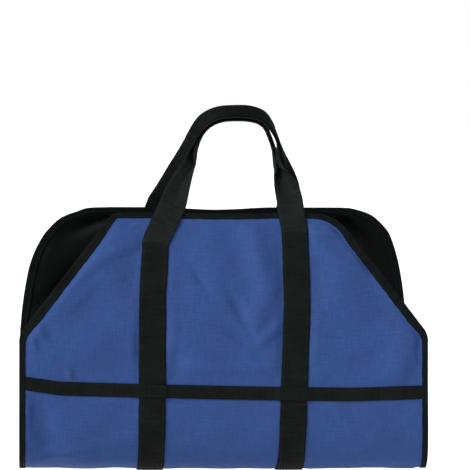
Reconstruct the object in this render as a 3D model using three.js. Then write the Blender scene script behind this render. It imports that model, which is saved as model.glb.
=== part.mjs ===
// Firewood bag: one long cloth, blue outside and black inside, hung in a U from two webbing handles.
// Millimetres, +Z up, +X to the right as seen from the front, the viewer on the -Y side.
// The origin is the hand grip, where both handles come together.
import * as THREE from 'three';
import { mergeVertices } from 'three/addons/utils/BufferGeometryUtils.js';

// Main sizes of the hanging body
const BODY_WIDTH = 502;
const BODY_HEIGHT = 318;
const BODY_DEPTH = 220;
const HANDLE_RISE = 117;
const GRIP_SHIFT = 19.5;

// Cut of the two panels, measured from the top edge
const FRONT_TOP_WIDTH = 272;
const FRONT_SHOULDER_DROP = 150;
const FRONT_LEFT_ROUND = 11;
const FRONT_RIGHT_ROUND = 57;
const SIDE_ROUND = 42;
const BACK_TOP_WIDTH = 330;
const BACK_SHOULDER_DROP = 150;
const TOP_SAG = 3;
const TOP_SAG_DEPTH = 90;

// Cloth, tape and webbing
const SHELL_THICKNESS = 1.2;
const LINING_THICKNESS = 1;
const BINDING_WIDTH = 9.5;
const BINDING_THICKNESS = 1;
const STRAP_SPACING = 175;
const STRAP_WIDTH = 32;
const WEBBING_THICKNESS = 1.6;
const CROSS_STRAP_WIDTH = 16;
const CROSS_STRAP_THICKNESS = 1.3;
const CROSS_STRAP_DROP = 222;
const LAYER_GAP = 0.3;

// Where each free leg leaves its sewn strap, below the panel's top edge, and how far it leans
// sideways from the strap by the time it crosses that edge
const LEGS = {
  frontLeft: { seamDrop: 37, lean: 21 },
  frontRight: { seamDrop: 24, lean: -4 },
  backLeft: { seamDrop: 30, lean: 11 },
  backRight: { seamDrop: 30, lean: 5 },
};

// Soft relief of the cloth between the straps
const FOLD_HEIGHT = 5;
const FOLD_FLAT_MARGIN = 2;
const FOLD_FADE = 34;

// Fineness of the faceted surfaces
const SHOULDER_ROWS = 9;
const BAND_ROWS = 2;
const LOWER_ROWS = 9;
const SHOULDER_ROW_GROWTH = 1.8;
const BAY_COLUMNS = 4;
const CORNER_STEPS = 5;
const TOP_STEPS = 10;
const CROSS_STEPS = 9;
const CURVE_STEPS = 2;
const PROFILE_STEPS = 400;

// Side view of one panel from its top edge to the middle of the bottom:
// down is a share of the body's height, out a share of half its depth.
const PROFILE = [
  { down: 0, out: 0.74 },
  { down: 0.14, out: 0.84 },
  { down: 0.33, out: 0.935 },
  { down: 0.55, out: 0.99 },
  { down: 0.73, out: 1 },
  { down: 0.87, out: 0.94 },
  { down: 0.95, out: 0.79 },
  { down: 0.988, out: 0.52 },
  { down: 1, out: 0.18 },
  { down: 1, out: 0 },
];

// Sideways wander of the sewn straps: along is a share of the whole strap from the front top edge
// round to the back one, shift a share of the strap's width.
const STRAP_WANDER = {
  left: [
    { along: 0, shift: 0.1 },
    { along: 0.06, shift: 0.08 },
    { along: 0.13, shift: -0.03 },
    { along: 0.4, shift: -0.04 },
    { along: 0.6, shift: 0 },
    { along: 1, shift: 0.1 },
  ],
  right: [
    { along: 0, shift: -0.07 },
    { along: 0.14, shift: 0 },
    { along: 0.28, shift: -0.12 },
    { along: 0.42, shift: -0.19 },
    { along: 0.6, shift: 0 },
    { along: 1, shift: 0.1 },
  ],
};

// Droop of the cross straps: across is a share of half the body's width,
// lift a share of the cross strap's width.
const CROSS_DROOP = [
  { across: -1, lift: 0.82 },
  { across: -0.8, lift: 0.36 },
  { across: -0.42, lift: 0.18 },
  { across: 0.04, lift: 0 },
  { across: 0.3, lift: -0.08 },
  { across: 0.64, lift: -0.15 },
  { across: 0.83, lift: -0.06 },
  { across: 1, lift: 0.04 },
];

// Soft folds and dents of a panel: across is a share of half the width, down of the height,
// length and width of the height, tilt in degrees from level, height a share of FOLD_HEIGHT.
const FRONT_FOLDS = [
  { across: -0.52, down: 0.24, length: 0.26, width: 0.09, tilt: 24, height: 0.8 },
  { across: -0.66, down: 0.4, length: 0.3, width: 0.08, tilt: 50, height: -0.6 },
  { across: -0.68, down: 0.56, length: 0.3, width: 0.1, tilt: -12, height: 0.6 },
  { across: -0.72, down: 0.86, length: 0.2, width: 0.1, tilt: 78, height: 0.5 },
  { across: -0.04, down: 0.3, length: 0.34, width: 0.12, tilt: 74, height: 0.7 },
  { across: 0.03, down: 0.5, length: 0.26, width: 0.09, tilt: -38, height: -0.6 },
  { across: 0, down: 0.85, length: 0.24, width: 0.1, tilt: 8, height: 0.5 },
  { across: 0.6, down: 0.3, length: 0.26, width: 0.1, tilt: -52, height: 0.7 },
  { across: 0.68, down: 0.52, length: 0.28, width: 0.09, tilt: 32, height: -0.6 },
  { across: 0.7, down: 0.86, length: 0.22, width: 0.1, tilt: -70, height: 0.5 },
];
const BACK_FOLDS = [
  { across: -0.66, down: 0.14, length: 0.24, width: 0.08, tilt: 30, height: -0.7 },
  { across: -0.66, down: 0.42, length: 0.32, width: 0.11, tilt: -28, height: 0.8 },
  { across: -0.7, down: 0.84, length: 0.24, width: 0.1, tilt: 66, height: 0.5 },
  { across: 0.02, down: 0.26, length: 0.3, width: 0.1, tilt: -66, height: 0.7 },
  { across: -0.02, down: 0.5, length: 0.28, width: 0.1, tilt: 20, height: -0.6 },
  { across: 0.02, down: 0.86, length: 0.22, width: 0.1, tilt: -10, height: 0.5 },
  { across: 0.68, down: 0.13, length: 0.22, width: 0.08, tilt: -34, height: 0.8 },
  { across: 0.66, down: 0.34, length: 0.3, width: 0.1, tilt: 46, height: -0.6 },
  { across: 0.7, down: 0.54, length: 0.28, width: 0.1, tilt: -20, height: 0.7 },
];

// Each leg of a handle, from the panel's top edge up to the grip: rise is a share of HANDLE_RISE,
// across of the leg's own distance from the grip, lean of the panel's distance from the middle,
// fold runs from flat (0) to folded in half lengthwise (1), turn is degrees about the webbing.
const FRONT_LEFT_LEG = [
  { rise: 0.21, across: 0.893, lean: 0.83, fold: 0.12, turn: 2 },
  { rise: 0.344, across: 0.826, lean: 0.71, fold: 0.3, turn: 4 },
  { rise: 0.553, across: 0.703, lean: 0.53, fold: 0.6, turn: 8 },
  { rise: 0.658, across: 0.652, lean: 0.45, fold: 0.8, turn: 14 },
  { rise: 0.764, across: 0.567, lean: 0.37, fold: 0.97, turn: 20 },
  { rise: 0.86, across: 0.475, lean: 0.29, fold: 1, turn: 18 },
  { rise: 0.928, across: 0.352, lean: 0.21, fold: 1, turn: 10 },
  { rise: 0.966, across: 0.202, lean: 0.135, fold: 1, turn: 4 },
];
const FRONT_GRIP = { rise: 0.977, across: 0, lean: 0.12, fold: 1, turn: 0 };
const FRONT_RIGHT_LEG = [
  { rise: 0.238, across: 0.963, lean: 0.8, fold: 0.12, turn: 0 },
  { rise: 0.374, across: 0.879, lean: 0.69, fold: 0.5, turn: 0 },
  { rise: 0.542, across: 0.783, lean: 0.55, fold: 0.84, turn: 0 },
  { rise: 0.657, across: 0.724, lean: 0.45, fold: 0.98, turn: 0 },
  { rise: 0.785, across: 0.625, lean: 0.36, fold: 1, turn: 0 },
  { rise: 0.891, across: 0.525, lean: 0.27, fold: 1, turn: 0 },
  { rise: 0.944, across: 0.4, lean: 0.21, fold: 1, turn: 0 },
  { rise: 0.971, across: 0.22, lean: 0.135, fold: 1, turn: 0 },
];
const BACK_LEFT_LEG = [
  { rise: 0.2, across: 0.86, lean: 0.84, fold: 0.1, turn: 2 },
  { rise: 0.309, across: 0.795, lean: 0.75, fold: 0.25, turn: 6 },
  { rise: 0.5, across: 0.695, lean: 0.6, fold: 0.6, turn: 22 },
  { rise: 0.68, across: 0.612, lean: 0.45, fold: 0.9, turn: 46 },
  { rise: 0.846, across: 0.52, lean: 0.31, fold: 1, turn: 66 },
  { rise: 0.971, across: 0.41, lean: 0.19, fold: 1, turn: 76 },
  { rise: 1.041, across: 0.239, lean: 0.1, fold: 1, turn: 78 },
];
const BACK_GRIP = { rise: 1.07, across: 0, lean: 0.08, fold: 1, turn: 74 };
const BACK_RIGHT_LEG = [
  { rise: 0.218, across: 0.943, lean: 0.82, fold: 0.1, turn: 0 },
  { rise: 0.385, across: 0.88, lean: 0.69, fold: 0.45, turn: 0 },
  { rise: 0.562, across: 0.82, lean: 0.55, fold: 0.85, turn: 0 },
  { rise: 0.693, across: 0.765, lean: 0.43, fold: 1, turn: 4 },
  { rise: 0.824, across: 0.68, lean: 0.32, fold: 1, turn: 10 },
  { rise: 0.93, across: 0.58, lean: 0.22, fold: 1, turn: 26 },
  { rise: 1.015, across: 0.44, lean: 0.15, fold: 1, turn: 50 },
  { rise: 1.055, across: 0.23, lean: 0.1, fold: 1, turn: 68 },
];
const FOLD_ANGLE = 86;
const FOLD_ROUND = 1.7;

// Rise by which a leg has turned from its panel's slope to face straight out
const UPRIGHT_RISE = 0.3;

// Layers counted outward from the outside of the blue cloth
const SHELL_INNER = -SHELL_THICKNESS;
const LINING_OUTER = SHELL_INNER - LAYER_GAP;
const LINING_INNER = LINING_OUTER - LINING_THICKNESS;
const BINDING_OUTER = LAYER_GAP + BINDING_THICKNESS;
const BINDING_INNER = LINING_INNER - LAYER_GAP;
const CLOTH_INSET = BINDING_THICKNESS + LAYER_GAP;
const HALF_WIDTH = BODY_WIDTH / 2;
const TOP_LEVEL = -HANDLE_RISE;

function clamp01(value) {
  return Math.min(Math.max(value, 0), 1);
}

function smooth(value) {
  const t = clamp01(value);
  return t * t * (3 - 2 * t);
}

function lerp(a, b, t) {
  return a + (b - a) * t;
}

// Value of a table's column at a position, by straight lines between its rows
function readTable(rows, key, column, at) {
  const next = rows.findIndex((row) => row[key] > at);
  if (next === 0) return rows[0][column];
  if (next < 0) return rows[rows.length - 1][column];
  const before = rows[next - 1];
  const after = rows[next];
  return lerp(before[column], after[column], (at - before[key]) / (after[key] - before[key]));
}

// Half of the side profile as a fine line of points in Y and Z, with the length up to each point
function fineHalfProfile() {
  const points = PROFILE.map((row) => new THREE.Vector3(
    0,
    (-row.out * BODY_DEPTH) / 2,
    TOP_LEVEL - row.down * BODY_HEIGHT,
  ));
  const curve = new THREE.CatmullRomCurve3(points, false, 'centripetal');
  const line = curve.getPoints(PROFILE_STEPS);
  const lengths = [0];
  for (let i = 1; i < line.length; i += 1) {
    lengths.push(lengths[i - 1] + line[i].distanceTo(line[i - 1]));
  }
  return { line, lengths };
}

function pointAtLength(fine, length) {
  const i = Math.max(1, fine.lengths.findIndex((value) => value >= length - 1e-9));
  const t = (length - fine.lengths[i - 1]) / (fine.lengths[i] - fine.lengths[i - 1]);
  return fine.line[i - 1].clone().lerp(fine.line[i], clamp01(t));
}

// The profile's stations from the front top edge to the back top edge, with a flat stretch of
// bottom between the lowest two. Each holds its length along the cloth, its place, and the outward
// direction that keeps parallel layers parallel.
function makeStations() {
  const fine = fineHalfProfile();
  const half = fine.lengths[fine.lengths.length - 1];
  const shoulder = Math.max(FRONT_SHOULDER_DROP, BACK_SHOULDER_DROP) + SIDE_ROUND / 2;
  const bandTop = CROSS_STRAP_DROP - CROSS_STRAP_WIDTH / 2;
  const bandBottom = CROSS_STRAP_DROP + CROSS_STRAP_WIDTH / 2;
  const lengths = [];
  for (let i = 0; i < SHOULDER_ROWS; i += 1) {
    lengths.push(shoulder * (i / SHOULDER_ROWS) ** SHOULDER_ROW_GROWTH);
  }
  for (let i = 0; i < BAND_ROWS; i += 1) {
    lengths.push(lerp(shoulder, bandTop, i / BAND_ROWS));
  }
  lengths.push(bandTop);
  for (let i = 0; i < LOWER_ROWS; i += 1) {
    lengths.push(lerp(bandBottom, half, i / LOWER_ROWS));
  }
  const front = lengths.map((length) => ({ length, point: pointAtLength(fine, length) }));
  const back = front.slice().reverse().map((station) => ({
    length: 2 * half - station.length,
    point: new THREE.Vector3(0, -station.point.y, station.point.z),
  }));
  const stations = [...front, ...back];
  const direction = (a, b) => b.point.clone().sub(a.point).normalize();
  stations.forEach((station, i) => {
    const before = direction(stations[Math.max(i - 1, 0)], stations[Math.max(i, 1)]);
    const last = stations.length - 1;
    const after = direction(stations[Math.min(i, last - 1)], stations[Math.min(i + 1, last)]);
    const normalBefore = new THREE.Vector3(0, before.z, -before.y);
    const normalAfter = new THREE.Vector3(0, after.z, -after.y);
    const bisector = normalBefore.add(normalAfter).normalize();
    station.out = bisector.divideScalar(bisector.dot(normalAfter));
  });
  return stations;
}

const STATIONS = makeStations();
const CLOTH_LENGTH = STATIONS[STATIONS.length - 1].length;

function panelDown(length) {
  return Math.min(length, CLOTH_LENGTH - length) / BODY_HEIGHT;
}

function strapMiddle(side, length) {
  const wander = readTable(STRAP_WANDER[side], 'along', 'shift', length / CLOTH_LENGTH);
  const sign = side === 'left' ? -1 : 1;
  return (sign * STRAP_SPACING) / 2 + wander * STRAP_WIDTH;
}

function legOf(side, length) {
  const panel = length < CLOTH_LENGTH / 2 ? 'front' : 'back';
  return LEGS[panel + (side === 'left' ? 'Left' : 'Right')];
}

// Middle of a leg where it lies on its panel between the seam and the top edge
function legMiddle(side, length) {
  const { seamDrop, lean } = legOf(side, length);
  const down = Math.min(length, CLOTH_LENGTH - length);
  const seam = length < CLOTH_LENGTH / 2 ? seamDrop : CLOTH_LENGTH - seamDrop;
  return strapMiddle(side, seam) + lean * (1 - down / seamDrop);
}

// Both edges of the webbing on the cloth at one length, the sewn strap's or the leg's above it
function webbingEdges(side, length) {
  const { seamDrop, lean } = legOf(side, length);
  const middle = strapMiddle(side, length);
  const half = STRAP_WIDTH / 2;
  if (Math.min(length, CLOTH_LENGTH - length) > seamDrop) return [middle - half, middle + half];
  const leg = legMiddle(side, length);
  const legHalf = half * Math.hypot(1, lean / seamDrop);
  return [Math.min(middle - half, leg - legHalf), Math.max(middle + half, leg + legHalf)];
}

function crossDrop(across) {
  const lift = readTable(CROSS_DROOP, 'across', 'lift', across / HALF_WIDTH);
  return CROSS_STRAP_DROP - lift * CROSS_STRAP_WIDTH;
}

// Height of the folds over the plain surface. It dies away at straps, bands and bound edges,
// which hold the cloth flat.
function foldHeight(across, length) {
  const rows = length < CLOTH_LENGTH / 2 ? FRONT_FOLDS : BACK_FOLDS;
  const down = panelDown(length) * BODY_HEIGHT;
  let height = 0;
  rows.forEach((row) => {
    const dx = across - row.across * HALF_WIDTH;
    const dz = row.down * BODY_HEIGHT - down;
    const tilt = THREE.MathUtils.degToRad(row.tilt);
    const along = (dx * Math.cos(tilt) + dz * Math.sin(tilt)) / ((row.length * BODY_HEIGHT) / 2);
    const beside = (dz * Math.cos(tilt) - dx * Math.sin(tilt)) / (row.width * BODY_HEIGHT);
    height += row.height * FOLD_HEIGHT * Math.exp(-along * along - beside * beside);
  });
  const clearOf = (distance) => smooth((distance - FOLD_FLAT_MARGIN) / FOLD_FADE);
  const strapEdges = ['left', 'right'].map((side) => {
    const [low, high] = webbingEdges(side, length);
    return Math.max(low - across, across - high);
  });
  const bandEdge = Math.abs(down - crossDrop(across)) - CROSS_STRAP_WIDTH / 2;
  const tapeEdge = outlineHalfWidth(length, Math.sign(across), BINDING_WIDTH) - Math.abs(across);
  const flats = [...strapEdges, bandEdge, tapeEdge, down - BINDING_WIDTH];
  return flats.reduce((product, distance) => product * clearOf(distance), height);
}

// Sag of the top edge between the two straps
function topSag(across, length) {
  const span = (STRAP_SPACING - STRAP_WIDTH) / 2;
  const share = clamp01(1 - (across / span) ** 2);
  const down = panelDown(length) * BODY_HEIGHT;
  return TOP_SAG * share * share * smooth(1 - down / TOP_SAG_DEPTH);
}

// Point of the cloth: across from the body's middle line, length along the cloth from the front
// top edge, and layer outward from the outside of the blue cloth
function onCloth(across, length, layer) {
  const last = STATIONS.length - 1;
  const found = STATIONS.findIndex((station) => station.length > length);
  const next = found < 0 ? last : Math.max(found, 1);
  const a = STATIONS[next - 1];
  const b = STATIONS[next];
  const t = (length - a.length) / (b.length - a.length);
  const out = a.out.clone().lerp(b.out, t);
  const lift = layer + foldHeight(across, length);
  const point = a.point.clone().lerp(b.point, t).addScaledVector(out, lift);
  return new THREE.Vector3(across - GRIP_SHIFT, point.y, point.z - topSag(across, length));
}

// Corner of a cut edge rounded by an arc: the points from before the corner to after it
function roundedCorner(before, corner, after, radius, steps) {
  const incoming = corner.clone().sub(before).normalize();
  const outgoing = after.clone().sub(corner).normalize();
  const turn = Math.acos(THREE.MathUtils.clamp(incoming.dot(outgoing), -1, 1));
  const tangent = radius * Math.tan(turn / 2);
  const start = corner.clone().addScaledVector(incoming, -tangent);
  const side = new THREE.Vector2(-incoming.y, incoming.x);
  if (side.dot(outgoing) < 0) side.negate();
  const centre = start.clone().addScaledVector(side, radius);
  const points = [];
  for (let i = 0; i <= steps; i += 1) {
    const angle = (turn * i) / steps;
    const spoke = side.clone().multiplyScalar(-Math.cos(angle));
    spoke.addScaledVector(incoming, Math.sin(angle));
    points.push(centre.clone().addScaledVector(spoke, radius));
  }
  return points;
}

// Cut edge of one shoulder, from the end of the straight top edge to the side edge. X is the
// distance from the middle line, Y the length below the top edge; both are positive.
function frontShoulder(topRound) {
  const topStart = new THREE.Vector2(0, 0);
  const topCorner = new THREE.Vector2(FRONT_TOP_WIDTH / 2, 0);
  const sideCorner = new THREE.Vector2(HALF_WIDTH, FRONT_SHOULDER_DROP);
  const sideEnd = new THREE.Vector2(HALF_WIDTH, FRONT_SHOULDER_DROP + SIDE_ROUND);
  const top = roundedCorner(topStart, topCorner, sideCorner, topRound, CORNER_STEPS);
  const side = roundedCorner(topCorner, sideCorner, sideEnd, SIDE_ROUND, CORNER_STEPS);
  const slant = [];
  for (let i = 1; i < CORNER_STEPS; i += 1) {
    slant.push(top[CORNER_STEPS].clone().lerp(side[0], i / CORNER_STEPS));
  }
  return [...top, ...slant, ...side, straightEnd(side[CORNER_STEPS])];
}

// Short straight stretch of the side edge below a shoulder's last corner
function straightEnd(point) {
  return new THREE.Vector2(point.x, point.y + BINDING_WIDTH / 2);
}

function backShoulder() {
  const run = HALF_WIDTH - BACK_TOP_WIDTH / 2;
  const steps = 3 * CORNER_STEPS;
  const points = [];
  for (let i = 0; i <= steps; i += 1) {
    const angle = ((Math.PI / 2) * i) / steps;
    const x = BACK_TOP_WIDTH / 2 + run * Math.sin(angle);
    points.push(new THREE.Vector2(x, BACK_SHOULDER_DROP * (1 - Math.cos(angle))));
  }
  return [...points, straightEnd(points[steps])];
}

const SHOULDERS = {
  frontLeft: frontShoulder(FRONT_LEFT_ROUND),
  frontRight: frontShoulder(FRONT_RIGHT_ROUND),
  backLeft: backShoulder(),
  backRight: backShoulder(),
};

function shoulderOf(length, sign) {
  const panel = length < CLOTH_LENGTH / 2 ? 'front' : 'back';
  return SHOULDERS[panel + (sign < 0 ? 'Left' : 'Right')];
}

// Half the width of the cut cloth on one side of the middle line, with its edge moved in by inset
function outlineHalfWidth(length, sign, inset = 0) {
  const down = Math.min(length, CLOTH_LENGTH - length);
  const line = insetLine(shoulderOf(length, sign), inset);
  const next = line.findIndex((point) => point.y > down);
  if (next < 0) return HALF_WIDTH - inset;
  if (next === 0) return line[0].x;
  const t = (down - line[next - 1].y) / (line[next].y - line[next - 1].y);
  return lerp(line[next - 1].x, line[next].x, t);
}

// Directions square to a shoulder's line and pointing into the cloth, one for each point
function inwardDirections(line) {
  return line.map((point, i) => {
    const before = i > 0 ? point.clone().sub(line[i - 1]).normalize() : new THREE.Vector2(1, 0);
    const last = i === line.length - 1;
    const after = last ? new THREE.Vector2(0, 1) : line[i + 1].clone().sub(point).normalize();
    const normalBefore = new THREE.Vector2(-before.y, before.x);
    const normalAfter = new THREE.Vector2(-after.y, after.x);
    const bisector = normalBefore.add(normalAfter).normalize();
    return bisector.divideScalar(bisector.dot(normalAfter));
  });
}

function insetLine(line, inset) {
  const inward = inwardDirections(line);
  return line.map((point, i) => point.clone().addScaledVector(inward[i], inset));
}

// Closed wall between two grids of points with the same rows and columns
function wallGeometry(outer, inner) {
  const rows = outer.length;
  const columns = outer[0].length;
  const positions = [...outer.flat(), ...inner.flat()].flatMap((point) => point.toArray());
  const index = [];
  const outerAt = (i, j) => i * columns + j;
  const innerAt = (i, j) => rows * columns + i * columns + j;
  const quad = (a, b, c, d) => index.push(a, b, c, a, c, d);
  for (let i = 0; i < rows - 1; i += 1) {
    for (let j = 0; j < columns - 1; j += 1) {
      quad(outerAt(i, j), outerAt(i + 1, j), outerAt(i + 1, j + 1), outerAt(i, j + 1));
      quad(innerAt(i, j), innerAt(i, j + 1), innerAt(i + 1, j + 1), innerAt(i + 1, j));
    }
    const end = columns - 1;
    quad(outerAt(i, 0), innerAt(i, 0), innerAt(i + 1, 0), outerAt(i + 1, 0));
    quad(outerAt(i, end), outerAt(i + 1, end), innerAt(i + 1, end), innerAt(i, end));
  }
  for (let j = 0; j < columns - 1; j += 1) {
    const end = rows - 1;
    quad(outerAt(0, j), outerAt(0, j + 1), innerAt(0, j + 1), innerAt(0, j));
    quad(outerAt(end, j), innerAt(end, j), innerAt(end, j + 1), outerAt(end, j + 1));
  }
  if (signedVolume(positions, index) < 0) index.reverse();
  const geometry = new THREE.BufferGeometry();
  geometry.setAttribute('position', new THREE.Float32BufferAttribute(positions, 3));
  geometry.setIndex(index);
  return mergeVertices(geometry);
}

function signedVolume(positions, index) {
  const corner = (i) => new THREE.Vector3().fromArray(positions, 3 * index[i]);
  let volume = 0;
  for (let i = 0; i < index.length; i += 3) {
    volume += corner(i).dot(corner(i + 1).cross(corner(i + 2)));
  }
  return volume;
}

// A whole layer of cloth, cut to the outline and kept inside the folded binding
function clothGeometry(outerLayer, innerLayer) {
  const lengths = STATIONS.map((station) => station.length);
  lengths[0] = CLOTH_INSET;
  lengths[lengths.length - 1] = CLOTH_LENGTH - CLOTH_INSET;
  const grid = (layer) => lengths.map(
    (length) => clothColumns(length).map((across) => onCloth(across, length, layer)),
  );
  return wallGeometry(grid(outerLayer), grid(innerLayer));
}

// Where the columns of the cloth's grid stand at one length: at its cut edges, at the inner edge
// of the binding, at both edges of each strap, and evenly in the bays between them
function clothColumns(length) {
  const under = BINDING_WIDTH + LAYER_GAP;
  const marks = [
    -outlineHalfWidth(length, -1, CLOTH_INSET),
    -outlineHalfWidth(length, -1, under),
    ...webbingEdges('left', length),
    ...webbingEdges('right', length),
    outlineHalfWidth(length, 1, under),
    outlineHalfWidth(length, 1, CLOTH_INSET),
  ];
  const columns = [marks[0]];
  for (let mark = 1; mark < marks.length; mark += 1) {
    const cells = mark % 2 === 0 ? BAY_COLUMNS : 1;
    for (let i = 1; i <= cells; i += 1) {
      columns.push(lerp(marks[mark - 1], marks[mark], i / cells));
    }
  }
  return columns;
}

// Section of the tape folded over an edge: inset is measured into the cloth from the folded edge
const BINDING_CURL = BINDING_THICKNESS * 0.4;
const BINDING_MIDDLE = (BINDING_OUTER + BINDING_INNER - BINDING_THICKNESS) / 2;
const BINDING_SECTION = {
  outside: [
    { inset: BINDING_WIDTH, layer: BINDING_OUTER },
    { inset: BINDING_CURL, layer: BINDING_OUTER - BINDING_CURL / 2 },
    { inset: 0, layer: BINDING_MIDDLE },
    { inset: BINDING_CURL, layer: BINDING_INNER - BINDING_THICKNESS + BINDING_CURL / 2 },
    { inset: BINDING_WIDTH, layer: BINDING_INNER - BINDING_THICKNESS },
  ],
  inside: [
    { inset: BINDING_WIDTH, layer: LAYER_GAP },
    { inset: CLOTH_INSET - LAYER_GAP, layer: LAYER_GAP },
    { inset: CLOTH_INSET - LAYER_GAP, layer: BINDING_MIDDLE },
    { inset: CLOTH_INSET - LAYER_GAP, layer: BINDING_INNER },
    { inset: BINDING_WIDTH, layer: BINDING_INNER },
  ],
};

// Tape along an edge, given by points of the flat cloth with the direction into the cloth at each
function bindingGeometry(edge) {
  const grid = (section) => edge.map(({ across, length, inward }) => section.map(({ inset, layer }) => (
    onCloth(across + inward.x * inset, length + inward.y * inset, layer)
  )));
  return wallGeometry(grid(BINDING_SECTION.outside), grid(BINDING_SECTION.inside));
}

// The edge of one panel: up one shoulder, along the top and down the other shoulder
function panelEdge(panel) {
  const shoulderEdge = (side, sign) => {
    const line = SHOULDERS[panel + side];
    const inward = inwardDirections(line);
    return line.map((point, i) => ({
      across: sign * point.x,
      down: point.y,
      x: sign * inward[i].x,
      y: inward[i].y,
    }));
  };
  const left = shoulderEdge('Left', -1).reverse();
  const right = shoulderEdge('Right', 1);
  const topStart = left[left.length - 1].across;
  const topEnd = right[0].across;
  const top = [];
  for (let i = 1; i < TOP_STEPS; i += 1) {
    top.push({ across: lerp(topStart, topEnd, i / TOP_STEPS), down: 0, x: 0, y: 1 });
  }
  const flip = panel === 'front' ? 1 : -1;
  const base = panel === 'front' ? 0 : CLOTH_LENGTH;
  return [...left, ...top, ...right].map((point) => ({
    across: point.across,
    length: base + flip * point.down,
    inward: new THREE.Vector2(point.x, flip * point.y),
  }));
}

// Both ends of a stretch of cloth and the stations between them, but none crowding an end
function lengthsBetween(start, end) {
  const clear = (length) => length > start + SHELL_THICKNESS && length < end - SHELL_THICKNESS;
  return [start, ...STATIONS.map((station) => station.length).filter(clear), end];
}

// The straight edge of one side, from the front shoulder under the bottom to the back shoulder
function sideEdge(sign) {
  const side = sign < 0 ? 'Left' : 'Right';
  const front = SHOULDERS['front' + side];
  const back = SHOULDERS['back' + side];
  const start = front[front.length - 1].y + LAYER_GAP;
  const end = CLOTH_LENGTH - back[back.length - 1].y - LAYER_GAP;
  return lengthsBetween(start, end).map((length) => ({
    across: sign * HALF_WIDTH,
    length,
    inward: new THREE.Vector2(-sign, 0),
  }));
}

// Sewn strap from the front seam round to the back seam
function strapGeometry(side) {
  const start = legOf(side, 0).seamDrop + LAYER_GAP;
  const end = CLOTH_LENGTH - legOf(side, CLOTH_LENGTH).seamDrop - LAYER_GAP;
  const grid = (layer) => lengthsBetween(start, end).map((length) => {
    const middle = strapMiddle(side, length);
    return [-1, 1].map((edge) => onCloth(middle + (edge * STRAP_WIDTH) / 2, length, layer));
  });
  return wallGeometry(grid(LAYER_GAP + WEBBING_THICKNESS), grid(LAYER_GAP));
}

// Cross strap, stepped up over the two sewn straps that it passes across
function crossStrapGeometry(panel) {
  const reach = HALF_WIDTH - BINDING_WIDTH - LAYER_GAP;
  const over = WEBBING_THICKNESS + LAYER_GAP;
  const atPanel = (drop) => (panel === 'front' ? drop : CLOTH_LENGTH - drop);
  const stepRun = 2 * over;
  const marks = [];
  const straps = ['left', 'right'].map((side) => strapMiddle(side, atPanel(CROSS_STRAP_DROP)));
  const clear = STRAP_WIDTH / 2 + LAYER_GAP;
  const foot = clear + stepRun;
  const bays = [
    [-reach, straps[0] - foot],
    [straps[0] + foot, straps[1] - foot],
    [straps[1] + foot, reach],
  ];
  bays.forEach(([from, to], bay) => {
    for (let i = 0; i <= CROSS_STEPS; i += 1) {
      marks.push({ across: lerp(from, to, i / CROSS_STEPS), lift: 0 });
    }
    if (bay < straps.length) {
      marks.push({ across: straps[bay] - clear, lift: over });
      marks.push({ across: straps[bay] + clear, lift: over });
    }
  });
  const grid = (layer) => marks.map(({ across, lift }) => [-1, 1].map((edge) => onCloth(
    across,
    atPanel(crossDrop(across) + (edge * CROSS_STRAP_WIDTH) / 2),
    layer + lift,
  )));
  return wallGeometry(grid(LAYER_GAP + CROSS_STRAP_THICKNESS), grid(LAYER_GAP));
}

// The stretch of a handle's leg that lies on its panel, from the seam up to the top edge.
// It rises from the cloth to pass over the folded binding, and keeps to the panel's plane until
// its lower corner is over the edge as well.
function legOnPanel(panel, side) {
  const atPanel = (drop) => (panel === 'front' ? drop : CLOTH_LENGTH - drop);
  const { seamDrop, lean } = legOf(side, atPanel(0));
  const flat = LAYER_GAP + WEBBING_THICKNESS / 2;
  const raised = BINDING_OUTER + flat;
  const foot = BINDING_WIDTH + WEBBING_THICKNESS;
  const clearOfTop = ((STRAP_WIDTH / 2) * Math.abs(lean)) / Math.hypot(lean, seamDrop);
  const rows = [
    { drop: seamDrop, layer: flat },
    { drop: lerp(seamDrop, foot, 0.5), layer: lerp(flat, raised, 0.5) },
    { drop: foot, layer: raised },
    { drop: 0, layer: raised },
    { drop: -clearOfTop, layer: raised },
  ];
  return rows.map(({ drop, layer }) => {
    const length = atPanel(drop);
    const across = legMiddle(side, length);
    const point = onCloth(across, length, layer);
    const out = onCloth(across, length, layer + 1).sub(point).normalize();
    return { point, out, fold: 0, turn: 0 };
  });
}

// The free stretch of a leg above its panel's top edge
function freeLeg(rows, top, panelSign) {
  const straightOut = new THREE.Vector3(0, panelSign, 0);
  return rows.map((row) => ({
    point: new THREE.Vector3(
      top.point.x * row.across,
      top.point.y * row.lean,
      lerp(top.point.z, 0, row.rise),
    ),
    out: top.out.clone().lerp(straightOut, smooth(row.rise / UPRIGHT_RISE)).normalize(),
    fold: row.fold,
    turn: row.turn,
  }));
}

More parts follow.
